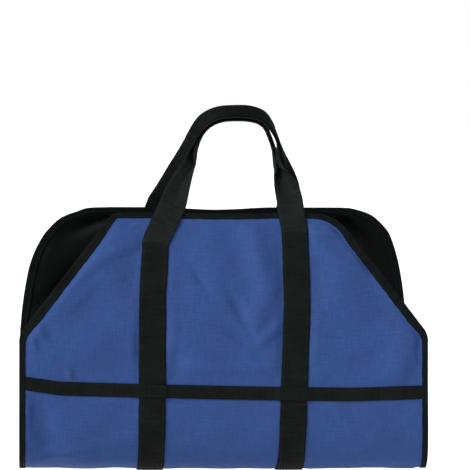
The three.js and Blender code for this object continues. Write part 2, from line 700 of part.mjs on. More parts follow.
// Section of the webbing across its length: flat, or with its halves folded towards each other.
// Points are given as across and out, before the turn.
function webbingSection(fold) {
  const half = STRAP_WIDTH / 2;
  const angle = THREE.MathUtils.degToRad(FOLD_ANGLE * fold);
  const bend = { x: FOLD_ROUND * Math.cos(angle / 2), y: FOLD_ROUND * Math.sin(angle / 2) };
  const rest = half - FOLD_ROUND;
  const tip = { x: bend.x + rest * Math.cos(angle), y: bend.y + rest * Math.sin(angle) };
  const centre = tip.y / 2;
  const line = [
    new THREE.Vector2(-tip.x, tip.y - centre),
    new THREE.Vector2(-bend.x, bend.y - centre),
    new THREE.Vector2(0, -centre),
    new THREE.Vector2(bend.x, bend.y - centre),
    new THREE.Vector2(tip.x, tip.y - centre),
  ];
  const normals = line.map((point, i) => {
    const a = line[Math.max(i - 1, 0)];
    const b = line[Math.min(i + 1, line.length - 1)];
    const along = b.clone().sub(a).normalize();
    return new THREE.Vector2(-along.y, along.x);
  });
  const side = (distance) => line.map((point, i) => point.clone().addScaledVector(normals[i], distance));
  return { outside: side(WEBBING_THICKNESS / 2), inside: side(-WEBBING_THICKNESS / 2) };
}

function handleGeometry(panel, legs, grip) {
  const panelSign = panel === 'front' ? -1 : 1;
  const leftFoot = legOnPanel(panel, 'left');
  const rightFoot = legOnPanel(panel, 'right');
  const leftTop = leftFoot[leftFoot.length - 2];
  const rightTop = rightFoot[rightFoot.length - 2];
  const left = [...leftFoot, ...freeLeg(legs.left, leftTop, panelSign)];
  const right = [...rightFoot, ...freeLeg(legs.right, rightTop, panelSign)];
  const middle = freeLeg([grip], leftTop, panelSign);
  const route = [...left, ...middle, ...right.reverse()];
  const curve = new THREE.CatmullRomCurve3(route.map((row) => row.point), false, 'centripetal');
  const spans = route.length - 1;
  const steps = spans * CURVE_STEPS;
  const outside = [];
  const inside = [];
  for (let i = 0; i <= steps; i += 1) {
    const t = i / steps;
    const row = Math.min(Math.floor(t * spans), spans - 1);
    const within = t * spans - row;
    const a = route[row];
    const b = route[row + 1];
    const point = curve.getPoint(t);
    const tangent = curve.getTangent(t);
    const reference = a.out.clone().lerp(b.out, within);
    if (i === 0 || i === steps) {
      tangent.crossVectors(new THREE.Vector3(1, 0, 0), reference);
      tangent.multiplyScalar(i === 0 ? Math.sign(tangent.z) : -Math.sign(tangent.z));
    }
    const out = reference.addScaledVector(tangent, -reference.dot(tangent)).normalize();
    const turn = THREE.MathUtils.degToRad(lerp(a.turn, b.turn, within));
    const across = new THREE.Vector3().crossVectors(tangent, out);
    out.applyAxisAngle(tangent, turn);
    across.applyAxisAngle(tangent, turn);
    const section = webbingSection(lerp(a.fold, b.fold, within));
    const put = ({ x, y }) => point.clone().addScaledVector(across, x).addScaledVector(out, y);
    outside.push(section.outside.map(put));
    inside.push(section.inside.map(put));
  }
  return wallGeometry(outside, inside);
}

// Surface colours and finishes
const BLUE_CLOTH = new THREE.MeshStandardMaterial({ color: 0x395288, roughness: 0.85, metalness: 0 });
const BLACK_CLOTH = new THREE.MeshStandardMaterial({ color: 0x1b1e1d, roughness: 0.8, metalness: 0 });
const BLACK_TAPE = new THREE.MeshStandardMaterial({ color: 0x1d211f, roughness: 0.9, metalness: 0 });
const BLACK_WEBBING = new THREE.MeshStandardMaterial({ color: 0x191d1b, roughness: 0.9, metalness: 0 });

const bag = new THREE.Group();

function addPiece(name, geometry, material) {
  const mesh = new THREE.Mesh(geometry, material);
  mesh.name = name;
  bag.add(mesh);
}

addPiece('body_shell', clothGeometry(0, SHELL_INNER), BLUE_CLOTH);
addPiece('lining', clothGeometry(LINING_OUTER, LINING_INNER), BLACK_CLOTH);
['front', 'back'].forEach((panel) => {
  addPiece(`edge_binding_${panel}`, bindingGeometry(panelEdge(panel)), BLACK_TAPE);
  addPiece(`cross_strap_${panel}`, crossStrapGeometry(panel), BLACK_WEBBING);
});
[['left', -1], ['right', 1]].forEach(([side, sign]) => {
  addPiece(`edge_binding_${side}`, bindingGeometry(sideEdge(sign)), BLACK_TAPE);
  addPiece(`strap_${side}`, strapGeometry(side), BLACK_WEBBING);
});
addPiece('handle_front', handleGeometry(
  'front',
  { left: FRONT_LEFT_LEG, right: FRONT_RIGHT_LEG },
  FRONT_GRIP,
), BLACK_WEBBING);
addPiece('handle_back', handleGeometry(
  'back',
  { left: BACK_LEFT_LEG, right: BACK_RIGHT_LEG },
  BACK_GRIP,
), BLACK_WEBBING);

export default bag;
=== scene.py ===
"""An open firewood carrier bag, hanging from its two handles.

One long blue cloth with a black lining hangs in a U. Tape binds its edges, webbing straps run
round it and rise into the handles, and narrow bands cross its two faces. All is in metres, in the
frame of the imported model: +Z up, +X to the right, and the front face towards -Y.
"""

import math

import bpy
import numpy as np
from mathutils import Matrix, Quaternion, Vector


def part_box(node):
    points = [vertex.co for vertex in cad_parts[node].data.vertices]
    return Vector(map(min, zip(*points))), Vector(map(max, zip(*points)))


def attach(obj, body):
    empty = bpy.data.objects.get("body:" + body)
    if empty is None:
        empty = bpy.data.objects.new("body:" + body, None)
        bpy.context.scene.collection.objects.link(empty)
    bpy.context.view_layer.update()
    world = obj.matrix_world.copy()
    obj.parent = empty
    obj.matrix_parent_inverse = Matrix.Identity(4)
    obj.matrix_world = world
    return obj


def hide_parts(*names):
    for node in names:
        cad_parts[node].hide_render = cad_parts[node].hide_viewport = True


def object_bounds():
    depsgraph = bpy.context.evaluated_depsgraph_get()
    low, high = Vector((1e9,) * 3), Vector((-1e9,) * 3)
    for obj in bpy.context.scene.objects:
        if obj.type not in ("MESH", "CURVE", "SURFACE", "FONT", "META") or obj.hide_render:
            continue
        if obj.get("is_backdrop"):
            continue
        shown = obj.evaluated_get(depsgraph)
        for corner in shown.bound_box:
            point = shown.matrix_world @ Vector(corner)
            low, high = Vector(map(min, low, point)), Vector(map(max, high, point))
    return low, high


bl_info = {
    "name": "Firewood Bag",
    "version": (1, 0, 0),
    "blender": (4, 5, 0),
    "location": "View3D > Sidebar > Firewood Bag",
    "description": "Makes an open firewood bag of cloth, tape, webbing and thread",
    "category": "Add Mesh",
}

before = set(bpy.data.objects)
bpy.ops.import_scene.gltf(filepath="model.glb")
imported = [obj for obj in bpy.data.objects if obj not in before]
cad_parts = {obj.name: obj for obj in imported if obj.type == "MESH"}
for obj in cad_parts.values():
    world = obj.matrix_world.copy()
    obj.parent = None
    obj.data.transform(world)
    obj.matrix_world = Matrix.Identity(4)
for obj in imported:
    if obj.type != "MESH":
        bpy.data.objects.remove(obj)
CAD_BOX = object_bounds()
MM = 0.001
PANELS = ("front", "back")
SIDES = ("left", "right")

# The body's width, middle and bottom are read from the frame's solids
LEFT_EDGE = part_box("edge_binding_left")[0].x
RIGHT_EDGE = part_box("edge_binding_right")[1].x
BODY_WIDTH = RIGHT_EDGE - LEFT_EDGE
BODY_MIDDLE = (LEFT_EDGE + RIGHT_EDGE) / 2
SHELL_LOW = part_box("body_shell")[0]
HANDLE_RISE = 117 * MM
BODY_HEIGHT = -SHELL_LOW.z - HANDLE_RISE
BODY_DEPTH = 220 * MM

# Cut of the two panels, measured from the top edge
FRONT_TOP_WIDTH = 272 * MM
SHOULDER_DROP = 150 * MM
TOP_ROUND = {"left": 11 * MM, "right": 57 * MM}
SIDE_ROUND = 24 * MM
TOP_SAG = {"front": 1.2 * MM, "back": 3 * MM}
TOP_SAG_DEPTH = 90 * MM
BOTTOM_SAG = 2 * MM
BOTTOM_SPREAD = 11 * MM

# Webbing, band and tape
STRAP_SPACING = 175 * MM
STRAP_WIDTH = 32 * MM
WEBBING_THICKNESS = 1.6 * MM
BAND_WIDTH = 16 * MM
BAND_THICKNESS = 1.3 * MM
BAND_DROP = 222 * MM
TAPE_WIDTH = 9.5 * MM
SIDE_TAPE_WIDTH = 7.4 * MM
LAYER_GAP = 0.3 * MM

# Where each free leg of a handle leaves its sewn strap, and how far it leans by the top edge
LEGS = {
    ("front", "left"): {"seam_drop": 37 * MM, "lean": 17.5 * MM},
    ("front", "right"): {"seam_drop": 24 * MM, "lean": -4 * MM},
    ("back", "left"): {"seam_drop": 30 * MM, "lean": 11 * MM},
    ("back", "right"): {"seam_drop": 30 * MM, "lean": 5 * MM},
}

# Sides of the back panel in millimetres: distance from the middle line, and drop
BACK_SHOULDERS = {
    "left": (
        (138, 0), (166, 1.5), (176, 5), (198, 14), (216, 31), (228, 50), (238, 75), (244, 103),
        (248.5, 135), (250.6, 160),
    ),
    "right": (
        (160, 0), (175, 1), (190, 5), (202, 10), (213, 19), (225, 33), (232, 49), (238, 68),
        (243, 90), (247.5, 117), (250, 140), (250.8, 160),
    ),
}


def table(columns, *rows):
    """Rows of numbers under named columns."""
    names = columns.split()
    return [dict(zip(names, row)) for row in rows]


# Side view of one panel: down is a share of the body's height, out of half its depth
PROFILE = table(
    "down out",
    (0, 0.74), (0.14, 0.84), (0.33, 0.935), (0.55, 0.99), (0.73, 1),
    (0.87, 0.94), (0.95, 0.79), (0.988, 0.52), (1, 0.18), (1, 0),
)

# Sideways wander of the sewn straps: along is a share of the cloth's length, shift of the width
STRAP_WANDER = {
    "left": table(
        "along shift",
        (0, 0.1), (0.06, 0.08), (0.13, -0.03), (0.4, -0.04), (0.6, 0), (1, 0.1),
    ),
    "right": table(
        "along shift",
        (0, -0.03), (0.14, 0.05), (0.28, -0.07), (0.42, -0.14), (0.6, 0), (1, 0.1),
    ),
}

# Droop of the bands: across is a share of half the body's width, lift of the band's width
BAND_DROOP = table(
    "across lift",
    (-1, 0.82), (-0.8, 0.36), (-0.42, 0.18), (0.04, 0),
    (0.3, -0.08), (0.64, -0.15), (0.83, -0.06), (1, 0.04),
)

# Soft folds of a panel: across is a share of half the width, down of the height, length and width
# of the height, tilt in degrees from level, height a share of fold_height
FOLD_COLUMNS = "across down length width tilt height"
FOLDS = {
    "front": table(
        FOLD_COLUMNS,
        (-0.52, 0.24, 0.26, 0.09, 24, 0.8), (-0.66, 0.4, 0.3, 0.08, 50, -0.6),
        (-0.68, 0.56, 0.3, 0.1, -12, 0.6), (-0.72, 0.86, 0.2, 0.1, 78, 0.5),
        (-0.04, 0.3, 0.34, 0.12, 74, 0.7), (0.03, 0.5, 0.26, 0.09, -38, -0.6),
        (0, 0.85, 0.24, 0.1, 8, 0.5), (0.6, 0.3, 0.26, 0.1, -52, 0.7),
        (0.68, 0.52, 0.28, 0.09, 32, -0.6), (0.7, 0.86, 0.22, 0.1, -70, 0.5),
    ),
    "back": table(
        FOLD_COLUMNS,
        (-0.66, 0.14, 0.24, 0.08, 30, -0.7), (-0.66, 0.42, 0.32, 0.11, -28, 0.8),
        (-0.7, 0.84, 0.24, 0.1, 66, 0.5), (0.02, 0.26, 0.3, 0.1, -66, 0.7),
        (-0.02, 0.5, 0.28, 0.1, 20, -0.6), (0.02, 0.86, 0.22, 0.1, -10, 0.5),
        (0.68, 0.13, 0.22, 0.08, -34, 0.8), (0.66, 0.34, 0.3, 0.1, 46, -0.6),
        (0.7, 0.54, 0.28, 0.1, -20, 0.7),
    ),
}

# Sharper creases: as the folds, with one width above the crest and one below it, a bend that
# bows the crest, and the height as a share of crease_height
CREASE_COLUMNS = "across down length above below tilt bend height"
CREASES = {
    "front": table(
        CREASE_COLUMNS,
        (-0.6, 0.185, 0.36, 0.06, 0.026, 34, -0.03, 1.2),
        (-0.7, 0.33, 0.2, 0.05, 0.02, 44, 0, 0.5), (-0.94, 0.5, 0.07, 0.016, 0.012, -58, 0, 1.1),
        (-0.9, 0.46, 0.07, 0.016, 0.012, -52, 0, 1.3),
        (-0.95, 0.44, 0.06, 0.014, 0.012, -44, 0, 0.9),
        (-0.755, 0.64, 0.07, 0.014, 0.01, 84, 0, 0.8), (-0.68, 0.5, 0.34, 0.06, 0.05, -6, 0, 0.9),
        (-0.1, 0.53, 1.3, 0.14, 0.08, 0, 0, 0.9), (-0.12, 0.26, 0.09, 0.016, 0.014, -54, 0, -0.8),
        (0.17, 0.18, 0.36, 0.05, 0.05, -77, 0, 1.45), (0.165, 0.41, 0.2, 0.05, 0.035, 64, 0, 1.1),
        (0.09, 0.41, 0.2, 0.016, 0.022, -64, 0, -0.9),
        (0.07, 0.49, 0.14, 0.016, 0.016, -34, 0, -1.1), (0.21, 0.476, 0.14, 0.02, 0.02, 42, 0, 1),
        (0, 0.6, 0.42, 0.016, 0.03, -2, 0, 0.5), (-0.235, 0.57, 0.16, 0.03, 0.03, 82, 0, -0.7),
        (0.5, 0.085, 0.16, 0.024, 0.014, -3, 0, 0.9),
        (0.52, 0.05, 0.12, 0.014, 0.012, -30, 0, 0.5),
        (0.58, 0.2, 0.3, 0.06, 0.026, -24, 0.03, 1.2), (0.86, 0.6, 0.22, 0.07, 0.04, 72, 0, 1),
        (0.72, 0.52, 0.3, 0.05, 0.05, 14, 0, 0.8), (-0.87, 0.84, 0.3, 0.04, 0.05, -78, 0, -1.2),
        (-0.66, 0.92, 0.36, 0.03, 0.03, 14, 0, 0.6), (0.56, 0.78, 0.14, 0.03, 0.02, -50, 0, 0.4),
        (0.05, 0.93, 0.5, 0.03, 0.03, -4, 0, 0.3),
    ),
    "back": table(
        CREASE_COLUMNS,
        (0.62, 0.05, 0.16, 0.03, 0.016, -30, 0, 1.8), (0.7, 0.1, 0.14, 0.02, 0.014, -48, 0, 1.4),
        (-0.6, 0.06, 0.2, 0.03, 0.018, 26, 0, 1.7), (-0.72, 0.3, 0.26, 0.03, 0.02, 38, 0, 1.4),
        (-0.1, 0.18, 0.3, 0.03, 0.02, 70, 0.02, 1.4), (0.14, 0.36, 0.24, 0.03, 0.02, -60, 0, 1.2),
        (0.08, 0.56, 0.36, 0.02, 0.03, 4, 0, 1), (0.66, 0.48, 0.28, 0.04, 0.02, 24, 0, 1.2),
        (0.9, 0.6, 0.2, 0.03, 0.03, -76, 0, 1.4), (-0.9, 0.62, 0.2, 0.03, 0.03, 72, 0, 1.4),
        (-0.56, 0.84, 0.3, 0.03, 0.02, -24, 0, 1.2), (0.6, 0.86, 0.3, 0.03, 0.02, 30, 0, 1),
    ),
}

# Width of the tape down a shoulder, both in millimetres
SHOULDER_TAPE = table("drop width", (0, 7), (12, 7.8), (36, 10.2), (130, 10.6), (165, 7.4))

# Legs of the handles from the top edge to the grip: rise is a share of the handle's rise, across
# of the leg's distance from the grip, lean of the panel's distance from the middle, fold runs
# from flat to folded in half lengthwise, turn is degrees about the webbing, and curl runs from
# folded along a line to rolled into a tube
LEG_COLUMNS = "rise across lean fold turn curl"
HANDLE_LEGS = {
    ("front", "left"): table(
        LEG_COLUMNS,
        (0.21, 0.88, 0.83, 0.3, -18, 0), (0.344, 0.785, 0.71, 0.46, -36, 0),
        (0.47, 0.685, 0.6, 0.66, -44, 0), (0.58, 0.645, 0.5, 0.9, -36, 0),
        (0.658, 0.61, 0.45, 1, -20, 0), (0.764, 0.545, 0.37, 1, -8, 0),
        (0.86, 0.46, 0.29, 1, 0, 0), (0.928, 0.345, 0.21, 1, 0, 0),
        (0.966, 0.194, 0.135, 1, 0, 0),
    ),
    ("front", "right"): table(
        LEG_COLUMNS,
        (0.238, 0.955, 0.8, 0.32, 0, 1), (0.374, 0.85, 0.69, 0.55, 4, 1),
        (0.46, 0.79, 0.62, 0.93, 6, 1), (0.542, 0.75, 0.55, 1, 4, 0.6),
        (0.61, 0.72, 0.5, 1, 0, 0.1), (0.657, 0.71, 0.45, 1, 0, 0),
        (0.785, 0.64, 0.36, 1, 0, 0), (0.891, 0.55, 0.27, 1, 0, 0),
        (0.944, 0.43, 0.21, 1, 0, 0), (0.971, 0.23, 0.135, 1, 0, 0),
    ),
    ("back", "left"): table(
        LEG_COLUMNS,
        (0.09, 0.945, 0.93, 0.04, 1, 0), (0.2, 0.86, 0.84, 0.1, 2, 0),
        (0.309, 0.792, 0.75, 0.25, 6, 0), (0.5, 0.695, 0.6, 0.6, 22, 0),
        (0.68, 0.612, 0.45, 0.9, 46, 0), (0.846, 0.52, 0.31, 1, 66, 0),
        (0.971, 0.41, 0.19, 1, 76, 0), (1.041, 0.239, 0.1, 1, 78, 0),
    ),
    ("back", "right"): table(
        LEG_COLUMNS,
        (0.218, 0.943, 0.82, 0.1, 0, 0), (0.385, 0.88, 0.69, 0.45, 0, 0),
        (0.562, 0.82, 0.55, 0.85, 0, 0), (0.693, 0.765, 0.43, 1, 4, 0),
        (0.824, 0.68, 0.32, 1, 10, 0), (0.93, 0.58, 0.22, 1, 26, 0),
        (1.015, 0.44, 0.15, 1, 50, 0), (1.055, 0.23, 0.1, 1, 68, 0),
    ),
}
GRIPS = {
    "front": table(LEG_COLUMNS, (0.977, 0, 0.12, 1, 0, 0)),
    "back": table(LEG_COLUMNS, (1.06, 0, 0.08, 1, 74, 0)),
}
FOLD_ANGLE = math.radians(89)
FOLD_ROUND = 1.3 * MM
UPRIGHT_RISE = 0.3


def length_property(name, description, default, least=0.0):
    return bpy.props.FloatProperty(
        name=name, description=description, default=default, min=least, unit="LENGTH",
    )


def angle_property(name, description, degrees):
    return bpy.props.FloatProperty(
        name=name, description=description, default=math.radians(degrees), subtype="ANGLE",
    )


def number_property(name, description, default, least=0.0):
    return bpy.props.FloatProperty(name=name, description=description, default=default, min=least)


def colour_property(name, description, default):
    return bpy.props.FloatVectorProperty(
        name=name, description=description, default=default, size=3, subtype="COLOR", min=0, max=1,
    )


class BagSizes(bpy.types.PropertyGroup):
    """Sizes of the cloth, webbing and tape."""

    body_width: length_property(
        "Body Width", "Width of the cloth from side to side", BODY_WIDTH, 0.2,
    )
    body_height: length_property(
        "Body Height", "From the top edges down to the bottom", BODY_HEIGHT, 0.1,
    )
    body_depth: length_property(
        "Body Depth", "From the front panel to the back panel", BODY_DEPTH, 0.05,
    )
    cloth_thickness: length_property(
        "Cloth Thickness", "Thickness of the blue cloth", 0.8 * MM, 0.0002,
    )
    lining_thickness: length_property(
        "Lining Thickness", "Thickness of the black lining", 0.7 * MM, 0.0002,
    )
    tape_thickness: length_property(
        "Tape Thickness", "Thickness of the binding tape", 0.8 * MM, 0.0002,
    )
    fold_height: length_property("Fold Height", "Height of the soft folds", 5 * MM)
    crease_height: length_property("Crease Height", "Height of the sharper creases", 5 * MM)
    ripple_height: length_property(
        "Ripple Height", "Height of the fine ripples all over the cloth", 0.6 * MM,
    )
    pucker_height: length_property(
        "Pucker Height", "Height of the puckers beside the seams", 0.35 * MM,
    )


class StitchSizes(bpy.types.PropertyGroup):
    """Sizes of the sewing thread and its stitches."""

    length: length_property("Stitch Length", "Length of one visible stitch", 3 * MM, 0.0005)
    pitch: length_property(
        "Stitch Pitch", "From the start of one stitch to the next", 3.9 * MM, 0.001,
    )
    thread: length_property("Thread Thickness", "Thickness of the sewing thread", 0.6 * MM, 0.0001)
    margin: length_property(
        "Margin", "From the edge of a strap or tape to its row of stitches", 2.6 * MM, 0.0005,
    )


class BagColours(bpy.types.PropertyGroup):
    """Colours of the cloth, tape, webbing and thread."""

    cloth: colour_property("Cloth", "The blue cloth", (0.0232, 0.0490, 0.150))
    lining: colour_property("Lining", "The black lining", (0.0035, 0.0044, 0.0041))
    tape: colour_property("Tape", "The binding tape", (0.0028, 0.0038, 0.004))
    webbing: colour_property("Webbing", "The straps and the back handle", (0.0036, 0.0047, 0.004))
    # The handle colour is the webbing's colour made paler. This is painted light on the front
    # handle, whose legs turn up to the key light; the back handle keeps the webbing's own colour.
    handle: colour_property("Handle", "The front handle, paler as painted light", (0.006, 0.0078, 0.0072))
    thread: colour_property("Thread", "The sewing thread", (0.0042, 0.005, 0.0048))
    floor: colour_property("Floor", "The pale floor", (0.97, 0.97, 0.97))


class StageSettings(bpy.types.PropertyGroup):
    """The camera, the floor and the soft lights."""

    azimuth: angle_property("Azimuth", "Camera's turn about the bag, from straight ahead", -4)
    elevation: angle_property("Elevation", "Camera's height above the horizon", 3)
    roll: angle_property("Roll", "Camera's turn about its own line of sight", 0.3)
    distance: length_property("Distance", "From the camera to the point it looks at", 3.6, 0.5)
    look_down: length_property("Look Down", "How far below the grip the camera looks", 148.7 * MM)
    lens: number_property("Lens", "Focal length in millimetres", 218.8, 10)
    floor_drop: length_property("Floor Drop", "From the bottom of the bag down to the floor", 0.16)
    sky: number_property("Sky", "Strength of the even light from all round", 0.3)
    backdrop: number_property("Backdrop", "Brightness of the sky as the camera sees it", 1)
    key: number_property("Key", "Strength of the broad soft light from the upper left", 4.6)
    fill: number_property("Fill", "Strength of the soft light from behind", 1.8)
    spread: angle_property(
        "Spread", "How wide the key and the fill spread, which softens shadows", 26,
    )
    bounce: number_property(
        "Bounce", "Power in watts of the soft light from below the front", 0.12,
    )


def smooth(value):
    """Smooth step from 0 to 1."""
    t = np.clip(value, 0, 1)
    return t * t * (3 - 2 * t)


def read_table(rows, key, column, at):
    return np.interp(at, [row[key] for row in rows], [row[column] for row in rows])


def unit(vectors):
    return vectors / np.linalg.norm(vectors, axis=-1, keepdims=True)


def along_line(line):
    """Length of a line of points up to each of them."""
    steps = np.linalg.norm(np.diff(line, axis=0), axis=1)
    return np.concatenate([[0], np.cumsum(steps)])


def curve_through(points, steps):
    """Centripetal curve through points, with a number of steps to each span."""
    points = np.asarray(points, float)
    ends = 2 * points[[0, -1]] - points[[1, -2]]
    line = np.vstack([ends[:1], points, ends[1:]])
    t = np.linspace(0, 1, steps, endpoint=False)[:, None]
    parts = []
    for p0, p1, p2, p3 in zip(line, line[1:], line[2:], line[3:]):
        d0, d1, d2 = (np.linalg.norm(b - a) ** 0.5 for a, b in ((p0, p1), (p1, p2), (p2, p3)))
        start = ((p1 - p0) / d0 - (p2 - p0) / (d0 + d1) + (p2 - p1) / d1) * d1
        end = ((p2 - p1) / d1 - (p3 - p1) / (d1 + d2) + (p3 - p2) / d2) * d1
        square = 3 * (p2 - p1) - 2 * start - end
        cube = 2 * (p1 - p2) + start + end
        parts.append(p1 + start * t + square * t ** 2 + cube * t ** 3)
    return np.vstack([*parts, points[-1:]])


def rounded_corner(before, corner, after, radius, steps=14):
    """Corner of a cut edge rounded by an arc."""
    before, corner, after = (np.array(p, float) for p in (before, corner, after))
    incoming, outgoing = unit(corner - before), unit(after - corner)
    turn = math.acos(float(np.clip(incoming @ outgoing, -1, 1)))
    start = corner - incoming * radius * math.tan(turn / 2)
    side = np.array([-incoming[1], incoming[0]])
    if side @ outgoing < 0:
        side = -side
    centre = start + side * radius
    angle = np.linspace(0, turn, steps + 1)[:, None]
    return centre - side * np.cos(angle) * radius + incoming * np.sin(angle) * radius


def shoulder_line(panel, side, half_width):
    """Cut edge of one shoulder: distance from the middle line, and length below the top edge."""
    side_corner = (half_width, SHOULDER_DROP)
    end = (half_width, SHOULDER_DROP + SIDE_ROUND)
    if panel == "back":
        points = np.array(BACK_SHOULDERS[side]) * MM
        points[:, 0] *= 2 * half_width / BODY_WIDTH
        return np.vstack([curve_through(points, 6), [end]])
    top_corner = (FRONT_TOP_WIDTH / 2, 0)
    top = rounded_corner((0, 0), top_corner, side_corner, TOP_ROUND[side])
    low = rounded_corner(top_corner, side_corner, end, SIDE_ROUND)
    slant = np.linspace(top[-1], low[0], 40)[1:-1]
    return np.vstack([top, slant, low, [end]])


def inward_of(line):
    """Directions square to a shoulder's line and pointing into the cloth."""
    steps = unit(np.diff(line, axis=0))
    before = np.vstack([[(1, 0)], steps])
    after = np.vstack([steps, [(0, 1)]])
    normal_before = np.column_stack([-before[:, 1], before[:, 0]])
    normal_after = np.column_stack([-after[:, 1], after[:, 0]])
    bisector = unit(normal_before + normal_after)
    return bisector / (bisector * normal_after).sum(1, keepdims=True)


class HangingCloth:
    """The long cloth as it hangs. A place is across from its middle line, length along it from
    the front top edge, and layer outward from the outside of the blue cloth."""

    PROFILE_STEPS = 60
    OVERHANG = 60 * MM
    FOLD_FLAT = 2 * MM
    FOLD_FADE = 34 * MM
    CREASE_FADE = 9 * MM
    PUCKER_PITCH = 13 * MM
    PUCKER_REACH = 5 * MM
    PUCKER_BEAT = 47 * MM
    PUCKER_SLANT = 0.6
    PUCKER_SWELL = 0.4
    PUCKER_FADE = 0.25
    RIPPLES = 14
    SEED = 11
    RIPPLE_WAVES = (22 * MM, 95 * MM)
    RIPPLE_MEAN = 60 * MM
    BOTTOM_WAVE = (3.3, 0.5, -1)
    SPREAD_REACH = 1.17

    def __init__(self, sizes):
        self.sizes = sizes
        self.half = sizes.body_width / 2
        points = [
            (-row["out"] * sizes.body_depth / 2, -HANDLE_RISE - row["down"] * sizes.body_height)
            for row in PROFILE
        ]
        front = curve_through(points, self.PROFILE_STEPS)
        line = np.vstack([front, front[-2::-1] * (-1, 1)])
        lengths = along_line(line)
        self.length = lengths[-1]
        tangent = unit(np.gradient(line, lengths, axis=0))
        line = np.vstack([
            line[0] - tangent[0] * self.OVERHANG, line, line[-1] + tangent[-1] * self.OVERHANG,
        ])
        tangent = np.vstack([tangent[:1], tangent, tangent[-1:]])
        self.lengths = np.concatenate([[-self.OVERHANG], lengths, [self.length + self.OVERHANG]])
        self.columns = (line[:, 0], line[:, 1], tangent[:, 1], -tangent[:, 0])
        self.shoulders = {
            (panel, side): shoulder_line(panel, side, self.half)
            for panel in PANELS for side in SIDES
        }
        random = np.random.default_rng(self.SEED)
        self.waves = np.column_stack([
            random.uniform(0, math.tau, self.RIPPLES),
            random.uniform(*self.RIPPLE_WAVES, self.RIPPLES),
            random.uniform(0, math.tau, self.RIPPLES),
        ])

    def down(self, length):
        return np.minimum(length, self.length - length)

    def on_panel(self, panel, length):
        return (length < self.length / 2) == (panel == "front")

    def at_panel(self, panel, drop):
        """Length at which a panel's drop below its top edge is reached."""
        return drop if panel == "front" else self.length - drop

    def half_width(self, length, side, inset=0.0):
        down = self.down(length)
        widths = {}
        for panel in PANELS:
            line = self.shoulders[panel, side]
            line = line + inward_of(line) * inset
            widths[panel] = np.interp(down, line[:, 1], line[:, 0])
        return np.where(length < self.length / 2, widths["front"], widths["back"])

    def strap_middle(self, side, length):
        shift = read_table(STRAP_WANDER[side], "along", "shift", length / self.length)
        sign = -1 if side == "left" else 1
        return sign * STRAP_SPACING / 2 + shift * STRAP_WIDTH

    def leg_middle(self, panel, side, drop):
        leg = LEGS[panel, side]
        start = self.strap_middle(side, self.at_panel(panel, leg["seam_drop"]))
        return start + leg["lean"] * (1 - drop / leg["seam_drop"])

    def webbing_edges(self, side, length):
        """Both edges of the webbing on the cloth, the sewn strap's or the leg's above it."""
        middle = self.strap_middle(side, length)
        low, high = middle - STRAP_WIDTH / 2, middle + STRAP_WIDTH / 2
        down = self.down(length)
        for panel in PANELS:
            leg = LEGS[panel, side]
            half = STRAP_WIDTH / 2 * math.hypot(1, leg["lean"] / leg["seam_drop"])
            at = self.leg_middle(panel, side, down)
            here = (down <= leg["seam_drop"]) & self.on_panel(panel, length)
            low = np.where(here, np.minimum(low, at - half), low)
            high = np.where(here, np.maximum(high, at + half), high)
        return low, high

    def band_drop(self, across):
        return BAND_DROP - BAND_WIDTH * read_table(BAND_DROOP, "across", "lift", across / self.half)

    def clearances(self, across, length):
        """Distance of a place on the cloth from the straps, the bands and the bound edges."""
        down = self.down(length)
        straps = []
        for side in SIDES:
            low, high = self.webbing_edges(side, length)
            straps.append(np.maximum(low - across, across - high))
        band = np.abs(down - self.band_drop(across)) - BAND_WIDTH / 2
        tape = np.where(
            across < 0,
            self.half_width(length, "left", TAPE_WIDTH),
            self.half_width(length, "right", TAPE_WIDTH),
        ) - np.abs(across)
        return [*straps, band, tape, down - TAPE_WIDTH]

    def fold_relief(self, across, length):
        """Heights of the folds and of the creases, before the sewing flattens them."""
        height = self.sizes.body_height
        down = self.down(length)
        found = []
        for rows, crest in ((FOLDS, self.sizes.fold_height), (CREASES, self.sizes.crease_height)):
            total = np.zeros_like(down)
            for panel in PANELS:
                here = self.on_panel(panel, length)
                for row in rows[panel]:
                    dx, dz = across - row["across"] * self.half, row["down"] * height - down
                    tilt = math.radians(row["tilt"])
                    along = dx * math.cos(tilt) + dz * math.sin(tilt)
                    along = along / (row["length"] * height / 2)
                    beside = (dz * math.cos(tilt) - dx * math.sin(tilt)) / height
                    beside = beside - row.get("bend", 0) * along ** 2
                    widths = (row.get(side, row.get("width")) for side in ("above", "below"))
                    bump = np.exp(-along ** 2 - (beside / np.where(beside > 0, *widths)) ** 2)
                    total += here * bump * row["height"] * crest
            found.append(total)
        return found

    def relief(self, across, length):
        """Height of the cloth over its plain form: folds, creases, ripples and puckers."""
        across, length = np.broadcast_arrays(np.asarray(across, float), np.asarray(length, float))
        folds, creases = self.fold_relief(across, length)
        ripples = np.zeros_like(folds)
        for heading, wave, phase in self.waves:
            walk = across * math.cos(heading) + length * math.sin(heading)
            ripples += np.sin(walk / wave * math.tau + phase) * wave / self.RIPPLE_MEAN
        ripples *= self.sizes.ripple_height / math.sqrt(self.RIPPLES)
        puckers = np.zeros_like(folds)
        clear_wide, clear_near = np.ones_like(folds), np.ones_like(folds)
        beat = np.sin((length + across * self.PUCKER_SLANT) / self.PUCKER_PITCH * math.tau)
        swell = np.sin((across - length) / self.PUCKER_BEAT * math.tau)
        beat = beat * (1 - self.PUCKER_SWELL + self.PUCKER_SWELL * swell)
        for distance in self.clearances(across, length):
            distance = np.maximum(distance, 0)
            clear_wide *= smooth((distance - self.FOLD_FLAT) / self.FOLD_FADE)
            clear_near *= smooth(distance / self.CREASE_FADE)
            near = distance / self.PUCKER_REACH
            puckers += near * np.exp(1 - near) * beat
        puckers *= self.sizes.pucker_height
        near_seams = puckers * clear_near ** self.PUCKER_FADE
        return folds * clear_wide + (creases + ripples) * clear_near + near_seams

